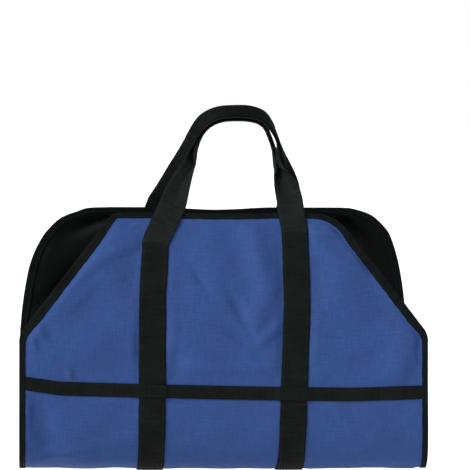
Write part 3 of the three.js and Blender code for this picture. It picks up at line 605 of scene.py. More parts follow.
    def sag(self, across, length):
        """How far the top edges hang between the straps, and the bottom below its plain line."""
        share = np.clip(1 - (across / ((STRAP_SPACING - STRAP_WIDTH) / 2)) ** 2, 0, 1)
        depth = np.where(length < self.length / 2, TOP_SAG["front"], TOP_SAG["back"])
        top = depth * share ** 2 * smooth(1 - self.down(length) / TOP_SAG_DEPTH)
        place = across / self.half
        level, slope, bow = self.BOTTOM_WAVE
        wave = level + slope * place + bow * place ** 2
        return top + BOTTOM_SAG * self.lowness(length, 0.6, 0.4) * wave

    def lowness(self, length, start, reach):
        """From 0 at one share of the way down to the bottom's middle, to 1 further on."""
        return smooth((self.down(length) / (self.length / 2) - start) / reach)

    def spread(self, length, y):
        """Widening of the right side where the cloth runs under the bottom."""
        near = np.clip(np.abs(y) / (self.SPREAD_REACH * BODY_DEPTH / 2), 0, 1)
        return BOTTOM_SPREAD * self.lowness(length, 0.5, 0.25) * (1 - near)

    def point(self, across, length, layer):
        across, length, layer = np.broadcast_arrays(across, length, layer)
        y, z, out_y, out_z = (np.interp(length, self.lengths, c) for c in self.columns)
        lift = layer + self.relief(across, length)
        z = z + out_z * lift - self.sag(across, length)
        spread = self.spread(length, y) * smooth(across / self.half)
        return np.stack([across + BODY_MIDDLE + spread, y + out_y * lift, z], -1)

    def out(self, across, length):
        return unit(self.point(across, length, 1 * MM) - self.point(across, length, 0.0))


def weave_map(across, along):
    """Flat places of a piece's surface, for its weave."""
    return np.stack(np.broadcast_arrays(across, along), -1)


def closed_sweep(name, rings, uv):
    """Closed mesh through a row of closed rings. A ring starts at its left tip, runs over the
    outside to its right tip in the middle, and back along the inside, so that its ends are capped
    by strips between the two sides."""
    rows, count = rings.shape[:2]
    faces = []
    for i in range(rows - 1):
        for j in range(count):
            k = (j + 1) % count
            faces.append((i * count + j, (i + 1) * count + j, (i + 1) * count + k, i * count + k))
    for base, flip in ((0, 1), ((rows - 1) * count, -1)):
        for j in range(count // 2):
            loop = [j, j + 1, (count - j - 1) % count, (count - j) % count]
            face = [base + v for v in dict.fromkeys(loop)]
            faces.append(tuple(face[::flip]))
    points = rings.reshape(-1, 3)
    a, b, c = (points[[face[i] for face in faces]] for i in range(3))
    d = points[[face[-1] for face in faces]]
    volume = (a * np.cross(b, c)).sum() + (a * np.cross(c, d)).sum()
    if volume < 0:
        faces = [face[::-1] for face in faces]
    mesh = bpy.data.meshes.new(name)
    mesh.from_pydata(points.tolist(), [], faces)
    layer = mesh.uv_layers.new(name="weave")
    corners = np.zeros(len(mesh.loops), np.int32)
    mesh.loops.foreach_get("vertex_index", corners)
    layer.data.foreach_set("uv", uv.reshape(-1, 2)[corners].astype(np.float32).ravel())
    mesh.shade_smooth()
    mesh.set_sharp_from_angle(angle=math.radians(62))
    mesh.validate()
    return mesh


def section_ring(outside, inside):
    """Ring of section points from both sides, with a tip put halfway at each end."""
    def tip(end, neighbour):
        middle = (outside[end] + inside[end]) / 2
        lead = unit(outside[end] - outside[neighbour])
        return middle + lead * np.linalg.norm(outside[end] - inside[end]) * 0.35

    return np.vstack([[tip(0, 1)], outside, [tip(-1, -2)], inside[::-1]])


def ring_spread(across):
    """Distance across the webbing of each point of a section's ring."""
    return np.concatenate([across[:1], across, across[-1:], across[::-1]])


def finish_piece(name, mesh, material, slot, *nodes):
    """A finished piece at the origin, riding on the bag's one body."""
    piece = bpy.data.objects.new(name, mesh)
    bpy.context.scene.collection.objects.link(piece)
    mesh.materials.clear()
    mesh.materials.append(material)
    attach(piece, "root")
    if nodes:
        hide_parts(*nodes)
    return piece


# The cloth's cut edge stands back inside the tape's fold, and its first rows are closer
EDGE_BACK = 0.4 * MM
EDGE_ROWS, EDGE_STEP = 12, 1.2 * MM
EDGE_CROWDING = 0.35


def cloth_layer(name, form, outer, inner, step, columns):
    """One layer of the cloth between two heights, cut to the outline and kept inside the tape."""
    inset = form.sizes.tape_thickness + EDGE_BACK
    near_top = np.arange(EDGE_ROWS) * EDGE_STEP + inset
    middle = form.length / 2
    rest = np.linspace(near_top[-1], middle, round((middle - near_top[-1]) / step))[1:]
    front = np.concatenate([near_top, rest])
    lengths = np.concatenate([front, form.length - front[-2::-1]])[:, None]
    even = np.linspace(0, 1, columns)
    share = (1 - np.cos(even * math.pi)) / 2 * EDGE_CROWDING + even * (1 - EDGE_CROWDING)
    left = -form.half_width(lengths, "left", inset)
    right = form.half_width(lengths, "right", inset)
    across = left + (right - left) * share[None, :]
    outside = form.point(across, lengths, outer)
    inside = form.point(across, lengths, inner)
    tips = form.point(np.hstack([left, right]), lengths, (outer + inner) / 2)
    rings = np.concatenate([tips[:, :1], outside, tips[:, 1:], inside[:, ::-1]], axis=1)
    spread = np.hstack([left, across, right, across[:, ::-1]])
    return closed_sweep(name, rings, weave_map(spread, lengths))


def flat_area(form):
    """Area of the cut cloth laid flat."""
    lengths = np.linspace(0, form.length, 800)
    widths = form.half_width(lengths, "left") + form.half_width(lengths, "right")
    return float(widths.mean() * form.length)


# Slight waves in how wide tape and webbing are: height and length of each wave
TAPE_WAVER = (0.15 * MM, 31 * MM), (0.15 * MM, 12.7 * MM)
TAPE_DIPS = np.array([0.1, 0, 0.22, 0.03, 0]) * MM
WEBBING_WAVER = (0.012, 61 * MM), (0.006, 17 * MM)


def waver(walk, waves):
    return sum(height * np.sin(walk / wave * math.tau) for height, wave in waves)


def tape_section(sizes):
    """Section of the tape folded over an edge: distance in from the fold, and layer."""
    thickness = sizes.tape_thickness
    outer = LAYER_GAP / 3 + thickness
    cloth = sizes.cloth_thickness + sizes.lining_thickness + LAYER_GAP / 3
    inner = -cloth - LAYER_GAP / 3 - thickness
    middle, radius = (outer + inner) / 2, (outer - inner) / 2
    flat = np.array([*(share * TAPE_WIDTH for share in (1, 0.86, 0.7, 0.5)), radius * 1.3])
    angle = np.linspace(math.pi / 2, -math.pi / 2, 9)

    def bend(shrink, dip):
        round_radius = radius - shrink
        return np.vstack([
            np.column_stack([flat, outer - shrink - dip]),
            np.column_stack([
                radius - round_radius * np.cos(angle), middle + round_radius * np.sin(angle),
            ]),
            np.column_stack([flat[::-1], inner + shrink + dip[::-1]]),
        ])

    return bend(0.0, TAPE_DIPS), bend(thickness, 0 * TAPE_DIPS)


def bound_edge(form, place):
    """Edge of a panel or a side as rows: across, length, the way into the cloth, tape width."""
    return panel_edge(form, place) if place in PANELS else side_edge(form, place)


def tape_mesh(name, form, place):
    """Binding tape folded over an edge of the cloth."""
    edge = bound_edge(form, place)
    outside, inside = tape_section(form.sizes)
    ring = section_ring(outside, inside)
    walk = along_line(edge[:, :2])
    wander = waver(walk, TAPE_WAVER)
    inset = ring[None, :, 0] / TAPE_WIDTH * (edge[:, 4:5] + wander[:, None])
    across = edge[:, None, 0] + edge[:, None, 2] * inset
    length = edge[:, None, 1] + edge[:, None, 3] * inset
    rings = form.point(across, length, ring[None, :, 1])
    around = along_line(outside)
    ring_around = np.concatenate([[around[0] - MM], around, [around[-1] + MM], around[::-1]])
    return closed_sweep(name, rings, weave_map(ring_around[None, :], walk[:, None]))


def resampled(line, step):
    """A line of rows spaced evenly by its first two columns."""
    walk = along_line(line[:, :2])
    at = np.linspace(0, walk[-1], max(2, round(walk[-1] / step)))
    return np.column_stack([np.interp(at, walk, column) for column in line.T])


def panel_edge(form, panel, step=2.2 * MM):
    """Edge of one panel: up one shoulder, along the top and down the other."""
    sides = {}
    for side, sign in (("left", -1), ("right", 1)):
        line = form.shoulders[panel, side]
        inward = unit(inward_of(line))
        width = read_table(SHOULDER_TAPE, "drop", "width", line[:, 1] / MM) * MM
        line = np.column_stack([
            sign * line[:, 0], line[:, 1], sign * inward[:, 0], inward[:, 1], width,
        ])
        keep = line[:, 1] <= SHOULDER_DROP + SIDE_ROUND / 2
        sides[side] = line[keep]
    top = np.linspace(sides["left"][0, :2], sides["right"][0, :2], 60)[1:-1]
    flat = np.ones(len(top))
    top = np.column_stack([top, 0 * flat, flat, sides["left"][0, 4] * flat])
    edge = resampled(np.vstack([sides["left"][::-1], top, sides["right"]]), step)
    if panel == "back":
        edge[:, 1] = form.length - edge[:, 1]
        edge[:, 3] *= -1
    return edge


def side_edge(form, side, step=3 * MM):
    """Straight edge of one side, from the front shoulder under the bottom to the back one."""
    start = panel_edge(form, "front")[0, 1] + LAYER_GAP / 3
    end = panel_edge(form, "back")[0, 1] - LAYER_GAP / 3
    lengths = np.linspace(start, end, round((end - start) / step))
    sign = -1 if side == "left" else 1
    flat = np.ones_like(lengths)
    return np.column_stack([
        sign * form.half * flat, lengths, -sign * flat, 0 * flat, SIDE_TAPE_WIDTH * flat,
    ])


# Stitch grooves beside the webbing's edges, its rounded edges, and how deep both go
GROOVE_INSET, GROOVE_REACH = 2.6 * MM, 1.2 * MM
EDGE_REACH = 0.8 * MM
DENT, UNDERCUT = 0.12, 0.1


def webbing_ring(width, thickness, columns):
    """Section of flat webbing: across and height, and the weave's spread round it."""
    across = np.linspace(-0.5, 0.5, columns) * width
    beyond = np.abs(across) - width / 2
    groove = np.exp(-((beyond + GROOVE_INSET) / GROOVE_REACH) ** 2)
    edge = np.exp(-(beyond / EDGE_REACH) ** 2)
    outside = np.column_stack([across, thickness * (1 - DENT * groove - DENT * edge)])
    inside = np.column_stack([across, thickness * UNDERCUT * edge])
    return section_ring(outside, inside), ring_spread(across)


STRAP_COLUMNS, BAND_COLUMNS = 17, 9


def strap_mesh(name, form, side, step=3 * MM):
    """Webbing sewn to the outside, from the front seam round to the back seam."""
    start = LEGS["front", side]["seam_drop"]
    end = form.length - LEGS["back", side]["seam_drop"]
    lengths = np.linspace(start, end, round((end - start) / step))
    ring, spread = webbing_ring(STRAP_WIDTH, WEBBING_THICKNESS, STRAP_COLUMNS)
    middle = form.strap_middle(side, lengths)
    width = 1 + waver(lengths, WEBBING_WAVER)
    across = middle[:, None] + ring[None, :, 0] * width[:, None]
    rings = form.point(across, lengths[:, None], LAYER_GAP + ring[None, :, 1])
    return closed_sweep(name, rings, weave_map(spread[None, :], lengths[:, None]))


# How a band's ends go under the tape, and how gently it climbs over a strap
BAND_END, BAND_TUCK = 0.6 * TAPE_WIDTH, 0.8 * TAPE_WIDTH
TUCK_REACH = 6 * MM
CLIMB = 3.5


def band_route(form, panel, step=2 * MM):
    """Route of a cross band: across, drop below the top edge, and lift over the two straps."""
    reach = form.half - BAND_END
    across = np.linspace(-reach, reach, round(2 * reach / step))
    over = WEBBING_THICKNESS + LAYER_GAP * 1.3
    lift = np.zeros_like(across)
    length = form.at_panel(panel, BAND_DROP)
    for side in SIDES:
        low, high = form.webbing_edges(side, np.array(length))
        away = np.maximum(low - across, across - high) - LAYER_GAP
        lift = np.maximum(lift, over * smooth(1 - away / (CLIMB * over)))
    return across, form.band_drop(across), lift


def band_mesh(name, form, panel):
    """Narrow webbing across a panel, over its two straps and tucked under the tape."""
    across, drop, lift = band_route(form, panel)
    ring, spread = webbing_ring(BAND_WIDTH, BAND_THICKNESS, BAND_COLUMNS)
    length = form.at_panel(panel, drop[:, None] + ring[None, :, 0])
    layer = LAYER_GAP + lift[:, None] + ring[None, :, 1]
    under_tape = smooth((form.half - BAND_TUCK - np.abs(across)) / TUCK_REACH)
    layer = layer - (1 - under_tape[:, None]) * (BAND_THICKNESS - 0.2 * MM)
    rings = form.point(across[:, None], length, layer)
    return closed_sweep(name, rings, weave_map(spread[None, :], across[:, None]))


def leg_on_panel(form, panel, side):
    """Rows of a leg where it lies on its panel and rises over the tape."""
    leg = LEGS[panel, side]
    flat = LAYER_GAP + WEBBING_THICKNESS / 2
    raised = LAYER_GAP + MM + flat
    foot = TAPE_WIDTH + WEBBING_THICKNESS
    clear = STRAP_WIDTH / 2 * abs(leg["lean"]) / math.hypot(leg["lean"], leg["seam_drop"])
    drops = (leg["seam_drop"], (leg["seam_drop"] + foot) / 2, foot, 0, -clear)
    layers = (flat, (flat + raised) / 2, raised, raised, raised)
    rows = []
    for drop, layer in zip(drops, layers):
        length = form.at_panel(panel, drop)
        across = form.leg_middle(panel, side, drop)
        rows.append({
            "point": form.point(across, length, layer),
            "out": form.out(across, length),
            "bend": (0, 0, 0),
        })
    return rows


def free_leg(rows, top, panel_sign):
    """Rows of a leg above its panel's top edge."""
    straight_out = np.array([0, panel_sign, 0])
    found = []
    for row in rows:
        x, y, z = top["point"]
        point = np.array([x * row["across"], y * row["lean"], z * (1 - row["rise"])])
        share = float(smooth(row["rise"] / UPRIGHT_RISE))
        out = unit(top["out"] * (1 - share) + straight_out * share)
        bend = (row["fold"], row["turn"], row["curl"])
        found.append({"point": point, "out": out, "bend": bend})
    return found


def folded_section(fold, curl, columns=12):
    """Section of the webbing, flat or with its halves folded towards each other: the middle line
    of the section, the way square to it, and the distance from the fold."""
    half = STRAP_WIDTH / 2
    fine = np.linspace(0, half, 120)
    creased = FOLD_ANGLE * smooth(fine / (2 * FOLD_ROUND))
    angle = fold * ((1 - curl) * creased + curl * math.pi * fine / half)
    step = fine[1]
    x = np.concatenate([[0], np.cumsum(np.cos(angle[:-1]) * step)])
    y = np.concatenate([[0], np.cumsum(np.sin(angle[:-1]) * step)])
    near = np.linspace(0, 2.4 * FOLD_ROUND, 6)
    at = np.concatenate([near, np.linspace(near[-1], half, columns - 4)[1:]])
    px, py, pa = (np.interp(at, fine, column) for column in (x, y, angle))
    line = np.vstack([np.column_stack([-px, py])[:0:-1], np.column_stack([px, py])])
    line[:, 1] -= y[-1] / 2
    normal_right = np.column_stack([-np.sin(pa), np.cos(pa)])
    normal_left = np.column_stack([np.sin(pa), np.cos(pa)])
    normals = np.vstack([normal_left[:0:-1], normal_right])
    return line, normals, np.concatenate([-at[:0:-1], at])


class Handle:
    """One handle: its route, its frame of directions and its folded section along the way."""

    SPAN_STEPS = 8

    def __init__(self, form, panel):
        sign = -1 if panel == "front" else 1
        feet = {side: leg_on_panel(form, panel, side) for side in SIDES}
        tops = {side: rows[-2] for side, rows in feet.items()}
        legs = {
            side: feet[side] + free_leg(HANDLE_LEGS[panel, side], tops[side], sign)
            for side in feet
        }
        grip = free_leg(GRIPS[panel], tops["left"], sign)
        route = legs["left"] + grip + legs["right"][::-1]
        self.points = curve_through([row["point"] for row in route], self.SPAN_STEPS)
        self.walk = along_line(self.points)
        rows = np.arange(len(route))
        at = np.linspace(0, len(route) - 1, len(self.points))

        def column(values):
            return np.column_stack([np.interp(at, rows, v) for v in np.array(values, float).T])

        tangent = unit(np.gradient(self.points, self.walk, axis=0))
        out = column([row["out"] for row in route])
        for end, flip in ((0, 1), (-1, -1)):
            square = np.cross((1, 0, 0), out[end])
            tangent[end] = unit(square) * np.sign(square[2]) * flip
        out = unit(out - (out * tangent).sum(1, keepdims=True) * tangent)
        beside = np.cross(tangent, out)
        fold, turn, curl = self.softened(column([row["bend"] for row in route]).T)
        angle = np.radians(turn)[:, None]
        self.out = out * np.cos(angle) + beside * np.sin(angle)
        self.beside = beside * np.cos(angle) - out * np.sin(angle)
        self.sections = [folded_section(*bend) for bend in zip(fold, curl)]

    def softened(self, columns):
        """Columns smoothed along the handle, with their ends kept."""
        reach = self.SPAN_STEPS
        kernel = np.hanning(reach + 2)[1:-1]
        kernel /= kernel.sum()
        found = []
        for values in columns:
            padded = np.pad(values, reach, mode="edge")
            found.append(np.convolve(padded, kernel, mode="same")[reach:-reach])
        return found

    def place(self, row, x, y):
        return self.points[row] + self.beside[row] * x + self.out[row] * y

    def mesh(self, name):
        rings, spread = [], None
        half = WEBBING_THICKNESS / 2
        for row, (line, normals, at) in enumerate(self.sections):
            thin = 1 - 0.15 * np.exp(-((np.abs(at) - STRAP_WIDTH / 2) / MM) ** 2)[:, None]
            ring = section_ring(line + normals * half * thin, line - normals * half * thin)
            rings.append(self.place(row, ring[:, :1], ring[:, 1:]))
            spread = ring_spread(at)
        return closed_sweep(name, np.array(rings), weave_map(spread[None, :], self.walk[:, None]))

    def seam_row(self, at, side, start, end, lift):
        """Row of stitches along the handle at a distance from the fold, on one face."""
        line, ways = [], []
        for row in range(start, end):
            section, normals, spots = self.sections[row]
            place = np.array([np.interp(at, spots, section[:, i]) for i in (0, 1)])
            normal = unit(np.array([np.interp(at, spots, normals[:, i]) for i in (0, 1)])) * side
            place = place + normal * (WEBBING_THICKNESS / 2 + lift)
            line.append(self.place(row, place[0], place[1]))
            ways.append(self.beside[row] * normal[0] + self.out[row] * normal[1])
        return np.array(line), np.array(ways)


def grip_mesh(name, form, panel):
    return Handle(form, panel).mesh(name)


def row_on_cloth(form, across, length, layer, face=1):
    """Row of stitches on the cloth: its points, and its ways out of the surface."""
    across, length, layer = np.broadcast_arrays(across, length, layer)
    return form.point(across, length, layer), form.out(across, length) * face


def rows_object(name, rows):
    """Object whose mesh has an edge for each step of the rows, and each point's way out."""
    edges, start = [], 0
    for points, _ in rows:
        edges += [(start + i, start + i + 1) for i in range(len(points) - 1)]
        start += len(points)
    points, ways = (np.vstack([row[i] for row in rows]) for i in (0, 1))
    mesh = bpy.data.meshes.new(name)
    mesh.from_pydata(points.tolist(), edges, [])
    mesh.attributes.new("way", "FLOAT_VECTOR", "POINT").data.foreach_set(
        "vector", unit(ways).astype(np.float32).ravel(),
    )
    return bpy.data.objects.new(name, mesh)


# Least and most of each stitch's random turns in radians, and of its random size
STITCH_TURNS = (-0.05, -0.05, -0.09), (0.05, 0.05, 0.09)
STITCH_SIZES = (0.9, 0.9, 0.85), (1.05, 1.1, 1.1)


def stitch_group():
    """Geometry nodes that lay slightly uneven stitches along lines."""
    inputs = {
        "Rows": "Geometry", "Stitch Length": "Float", "Pitch": "Float", "Thread Thickness": "Float",
        "Seed": "Int", "Thread": "Material",
    }
    group, tree, source = new_group(
        "stitch_rows", "GeometryNodeTree", inputs, {"Stitches": "Geometry"},
    )
    curve = tree.add("GeometryNodeMeshToCurve", Mesh=source["Rows"])
    points = tree.add(
        "GeometryNodeResampleCurve", {"mode": "LENGTH"},
        Curve=curve["Curve"], Length=source["Pitch"],
    )
    tangent = tree.add("GeometryNodeInputTangent")
    way = tree.add("GeometryNodeInputNamedAttribute", {"data_type": "FLOAT_VECTOR"}, Name="way")
    up = tree.add("FunctionNodeAlignRotationToVector", {"axis": "Z"}, Vector=way["Attribute"])
    along = tree.add(
        "FunctionNodeAlignRotationToVector", {"axis": "X", "pivot_axis": "Z"},
        Rotation=up["Rotation"], Vector=tangent["Tangent"],
    )
    wobble, size = (
        tree.add(
            "FunctionNodeRandomValue", {"data_type": "FLOAT_VECTOR"},
            Min=least, Max=most, Seed=source["Seed"],
        )["Value"]
        for least, most in (STITCH_TURNS, STITCH_SIZES)
    )
    turned = tree.add(
        "FunctionNodeRotateRotation", {"rotation_space": "LOCAL"},
        Rotation=along["Rotation"], Rotate_By=wobble,
    )
    ball = tree.add("GeometryNodeMeshUVSphere", Segments=8, Rings=6, Radius=0.5)
    extent = tree.add(
        "ShaderNodeCombineXYZ", X=source["Stitch Length"],
        Y=source["Thread Thickness"], Z=source["Thread Thickness"],
    )
    stitch = tree.add("GeometryNodeTransform", Geometry=ball["Mesh"], Scale=extent["Vector"])
    smooth_stitch = tree.add("GeometryNodeSetShadeSmooth", Geometry=stitch["Geometry"])
    placed = tree.add(
        "GeometryNodeInstanceOnPoints", Points=points["Curve"], Instance=smooth_stitch["Geometry"],
        Rotation=turned["Rotation"], Scale=size,
    )
    whole = tree.add("GeometryNodeRealizeInstances", Geometry=placed["Instances"])
    dyed = tree.add(
        "GeometryNodeSetMaterial", Geometry=whole["Geometry"], Material=source["Thread"],
    )
    tree.add("NodeGroupOutput", Stitches=dyed["Geometry"])
    return group


def stitched_mesh(rows, name, sizes, seed, material):
    """Mesh of the stitches along some rows."""
    source = rows_object(name + "_rows", list(rows))
    bpy.context.scene.collection.objects.link(source)
    group = bpy.data.node_groups.get("stitch_rows") or stitch_group()
    modifier = source.modifiers.new("stitches", "NODES")
    modifier.node_group = group
    values = {
        "Stitch Length": sizes.length, "Pitch": sizes.pitch, "Thread Thickness": sizes.thread,
        "Seed": seed, "Thread": material,
    }
    for item in group.interface.items_tree:
        if item.in_out == "INPUT" and item.name in values:
            modifier[item.identifier] = values[item.name]
    depsgraph = bpy.context.evaluated_depsgraph_get()
    mesh = bpy.data.meshes.new_from_object(source.evaluated_get(depsgraph))
    mesh.name = name
    source.modifiers.remove(modifier)
    bpy.data.objects.remove(source)
    return mesh


class Node:
    """A node whose outputs are read by name."""

    def __init__(self, node):
        self.node = node

    def __getitem__(self, name):
        for socket in self.node.outputs:
            if socket.name == name and socket.enabled:
                return socket
        raise KeyError(f"{self.node.bl_idname} has no output {name}")


class NodeTree:
    """Short way to add nodes and link them. An input is named with _ for each space, and an
    input's number among those of the same name may follow a double _."""

    def __init__(self, tree):
        self.tree = tree

    def add(self, kind, properties=None, **inputs):
        node = self.tree.nodes.new(kind)
        for name, value in (properties or {}).items():
            setattr(node, name, value)
        for key, value in inputs.items():
            name, _, number = key.partition("__")
            name = name.replace("_", " ")
            found = [s for s in node.inputs if s.name == name and s.enabled]
            if not found:
                raise KeyError(f"{kind} has no input {name}")
            socket = found[int(number or 0)]
            if isinstance(value, bpy.types.NodeSocket):
                self.tree.links.new(value, socket)
            else:
                socket.default_value = value
        return Node(node)

    def math(self, operation, *values):
        inputs = {f"Value__{i}": value for i, value in enumerate(values)}
        return self.add("ShaderNodeMath", {"operation": operation}, **inputs)["Value"]

    def mix(self, share, first, second):
        return self.add(
            "ShaderNodeMix", {"data_type": "RGBA"}, Factor=share, A=first, B=second,
        )["Result"]

    def fit(self, value, low, high, to_low=0.0, to_high=1.0):
        return self.add(
            "ShaderNodeMapRange", Value=value,
            From_Min=low, From_Max=high, To_Min=to_low, To_Max=to_high,
        )["Result"]

    def streaks(self, vector, stretch, least):
        """Noise drawn out along one way, from a least value to 1."""
        place = self.add(
            "ShaderNodeVectorMath", {"operation": "MULTIPLY"}, Vector=vector, Vector__1=stretch,
        )
        noise = self.add("ShaderNodeTexNoise", Vector=place["Vector"], Scale=1.0, Detail=2.0)
        return self.fit(noise["Fac"], 0.35, 0.65, least, 1.0)

    def group(self, name, **inputs):
        """One of the shared shader groups, built when it is first needed."""
        shared = bpy.data.node_groups.get(name) or SHARED_GROUPS[name]()
        return self.add("ShaderNodeGroup", {"node_tree": shared}, **inputs)

    def link(self, shader, **outputs):
        for name, output in outputs.items():
            self.tree.links.new(output, shader.inputs[name.replace("_", " ")])


# How far noise is squeezed across, along and through a weave, to make streaks of uneven yarn
SLUB_STREAKS = (520, 60, 1), (60, 520, 1)
FIBRE_STREAKS = (36, 330, 1)


def new_group(name, kind, inputs, outputs):
    """An empty node group with named inputs and outputs, each with its kind of socket."""
    group = bpy.data.node_groups.new(name, kind)
    for way, sockets in (("INPUT", inputs), ("OUTPUT", outputs)):
        for label, socket in sockets.items():
            group.interface.new_socket(label, in_out=way, socket_type=f"NodeSocket{socket}")
    tree = NodeTree(group)
    return group, tree, tree.add("NodeGroupInput")


def shader_group(name, inputs, outputs):
    """An empty shader group with a Vector and the float inputs, and float outputs."""
    kinds = {"Vector": "Vector", **dict.fromkeys(inputs, "Float")}
    found = new_group(name, "ShaderNodeTree", kinds, dict.fromkeys(outputs, "Float"))
    for item in found[0].interface.items_tree:
        if item.in_out == "INPUT" and item.name in inputs:
            item.default_value = inputs[item.name]
    return found


def plain_weave_group():
    """Plain weave: domed yarns over and under each other, with thicker yarns here and there."""
    group, tree, source = shader_group(
        "plain_weave", {"Yarn Pitch": 0.6 * MM, "Slub": 0.5}, ("Height", "Yarn Tone", "Slub Tone"),
    )
    split = tree.add("ShaderNodeSeparateXYZ", Vector=source["Vector"])
    waves = []
    for axis in "XY":
        turns = tree.math("DIVIDE", split[axis], source["Yarn Pitch"])
        waves.append(tree.math("SINE", tree.math("MULTIPLY", turns, math.pi)))
    both = tree.math("MULTIPLY", *waves)
    dome = tree.math("POWER", tree.math("ABSOLUTE", both), 0.5)
    streaks = [tree.streaks(source["Vector"], way, 0.0) for way in SLUB_STREAKS]
    slub = tree.math("MULTIPLY", tree.math("ADD", *streaks), 0.5)
    height = tree.math("ADD", dome, tree.math("MULTIPLY", slub, source["Slub"]))
    tone = tree.fit(both, -0.3, 0.3)
    tree.add("NodeGroupOutput", Height=height, Yarn_Tone=tone, Slub_Tone=slub)
    return group


def ribbed_weave_group():
    """Ribs across a narrow fabric, straight or in chevrons."""
    group, tree, source = shader_group(
        "ribbed_weave", {"Rib Pitch": 1.2 * MM, "Column Width": 4 * MM, "Slope": 0.6},
        ("Height", "Rib Tone"),
    )
    split = tree.add("ShaderNodeSeparateXYZ", Vector=source["Vector"])
    column = tree.math("PINGPONG", split["X"], source["Column Width"])
    slid = tree.math("ADD", split["Y"], tree.math("MULTIPLY", column, source["Slope"]))
    turns = tree.math("DIVIDE", slid, source["Rib Pitch"])
    rib = tree.math("ABSOLUTE", tree.math("SINE", tree.math("MULTIPLY", turns, math.pi)))
    valley = tree.math("DIVIDE", column, source["Column Width"])
    valley = tree.math("ABSOLUTE", tree.math("SUBTRACT", valley, 0.5))
    seam = tree.fit(valley, 0.42, 0.5, 1.0, 0.55)
    fibres = tree.streaks(source["Vector"], FIBRE_STREAKS, 0.4)
    height = tree.math("MULTIPLY", tree.math("MULTIPLY", rib, seam), fibres)
    # The tone is darker in the valleys between the ribs and lighter on their crests, which is
    # painted shade, times the fibre streaks, which are the yarn's own uneven tone.
    tone = tree.math("MULTIPLY", tree.math("POWER", rib, 0.7), fibres)
    tree.add("NodeGroupOutput", Height=height, Rib_Tone=tone)
    return group


def wear_group():
    """Soft blotches and sparse specks of lint."""
    group, tree, source = shader_group(
        "cloth_wear", {"Blotch Size": 0.09, "Lint Size": 1.6 * MM}, ("Blotches", "Lint"),
    )
    scales = [tree.math("DIVIDE", 1.0, source[name]) for name in ("Blotch Size", "Lint Size")]
    blotch, lint = (
        tree.add("ShaderNodeTexNoise", Vector=source["Vector"], Scale=scale, **details)
        for scale, details in zip(scales, ({"Detail": 5.0, "Roughness": 0.6}, {"Detail": 1.0}))
    )
    blotches, specks = tree.fit(blotch["Fac"], 0.32, 0.68), tree.fit(lint["Fac"], 0.7, 0.78)
    tree.add("NodeGroupOutput", Blotches=blotches, Lint=specks)
    return group


SHARED_GROUPS = {
    "plain_weave": plain_weave_group, "ribbed_weave": ribbed_weave_group, "cloth_wear": wear_group,
}


def new_material(name, **constants):
    """A material with the tree to add nodes to, and its Principled shader's constants set."""
    material = bpy.data.materials.new(name)
    material.use_nodes = True
    shader = next(n for n in material.node_tree.nodes if n.type == "BSDF_PRINCIPLED")
    for key, value in constants.items():
        shader.inputs[key.replace("_", " ")].default_value = value
    return material, NodeTree(material.node_tree), shader


def lighter(colour, gain):
    return (*(min(1.0, c * gain) for c in colour), 1.0)


def fabric(name, colour, group, pitch, tones, wear, rough, sheen, **weave_inputs):
    """Woven or ribbed fabric. Tones are the weave's outputs that lighten it, each with its
    darkest and lightest share of the colour. Wear is the size of the soft blotches, and the
    strength and lightness of the blotches and of the lint. Rough is the output that roughness
    follows, and its two ends. Sheen is its weight and tint."""
    material, tree, shader = new_material(
        name, Sheen_Weight=sheen[0], Sheen_Tint=sheen[1], Sheen_Roughness=0.5,
        Specular_IOR_Level=0.03,
    )
    uv = tree.add("ShaderNodeUVMap", {"uv_map": "weave"})
    weave = tree.group(group, Vector=uv["UV"], **weave_inputs)
    place = tree.add("ShaderNodeTexCoord")
    size, *spots = wear
    worn = tree.group("cloth_wear", Vector=place["Object"], Blotch_Size=size)
    shades = [
        tree.mix(weave[tone], lighter(colour, dark), lighter(colour, light))
        for tone, dark, light in tones
    ]
    look = tree.mix(0.5, *shades) if len(shades) == 2 else shades[0]
    for output, (strength, gain) in zip(("Blotches", "Lint"), spots):
        look = tree.mix(tree.math("MULTIPLY", worn[output], strength), look, lighter(colour, gain))
    source = {"Blotches": worn, "Rib Tone": weave}[rough[0]]
    bump = tree.add("ShaderNodeBump", Height=weave["Height"], Distance=pitch * 0.35, Strength=0.35)
    tree.link(
        shader, Base_Color=look, Roughness=tree.fit(source[rough[0]], 0, 1, *rough[1:]),
        Normal=bump["Normal"],
    )
    return material


def woven(name, colour, pitch, rough, sheen, lint):
    """Plain woven cloth with uneven yarns, soft blotches and a little lint."""
    return fabric(
        name, colour, "plain_weave", pitch, (("Yarn Tone", 0.97, 1.03), ("Slub Tone", 0.7, 1.3)),
        (0.09, (0.3, 1.22), (lint, 2.2)), ("Blotches", rough - 0.05, rough + 0.05),
        (sheen, lighter(colour, 3)), Yarn_Pitch=pitch,
    )


def ribbed(name, colour, pitch, column, slope):
    """Narrow ribbed fabric: webbing in chevrons or tape with straight ribs."""
    return fabric(
        # The rib tone takes the colour from 0.3 of itself in the rib valleys to 1.9 on the crests:
        # painted shade in the valleys.
        name, colour, "ribbed_weave", pitch, (("Rib Tone", 0.3, 1.9),),
        (0.03, (0.6, 2), (0.4, 5)), ("Rib Tone", 0.9, 0.78),
        (0, (0.6, 0.65, 0.65, 1)), Rib_Pitch=pitch, Column_Width=column, Slope=slope,
    )


def sewing_thread(name, colour):
    """Dark sewing thread with a slight gloss."""
    material, tree, shader = new_material(name, Roughness=0.5, Specular_IOR_Level=0.15)
    place = tree.add("ShaderNodeTexCoord")
    noise = tree.add("ShaderNodeTexNoise", Vector=place["Object"], Scale=700.0, Detail=1.0)
    tree.link(shader, Base_Color=tree.mix(noise["Fac"], lighter(colour, 0.7), lighter(colour, 1.5)))
    return material


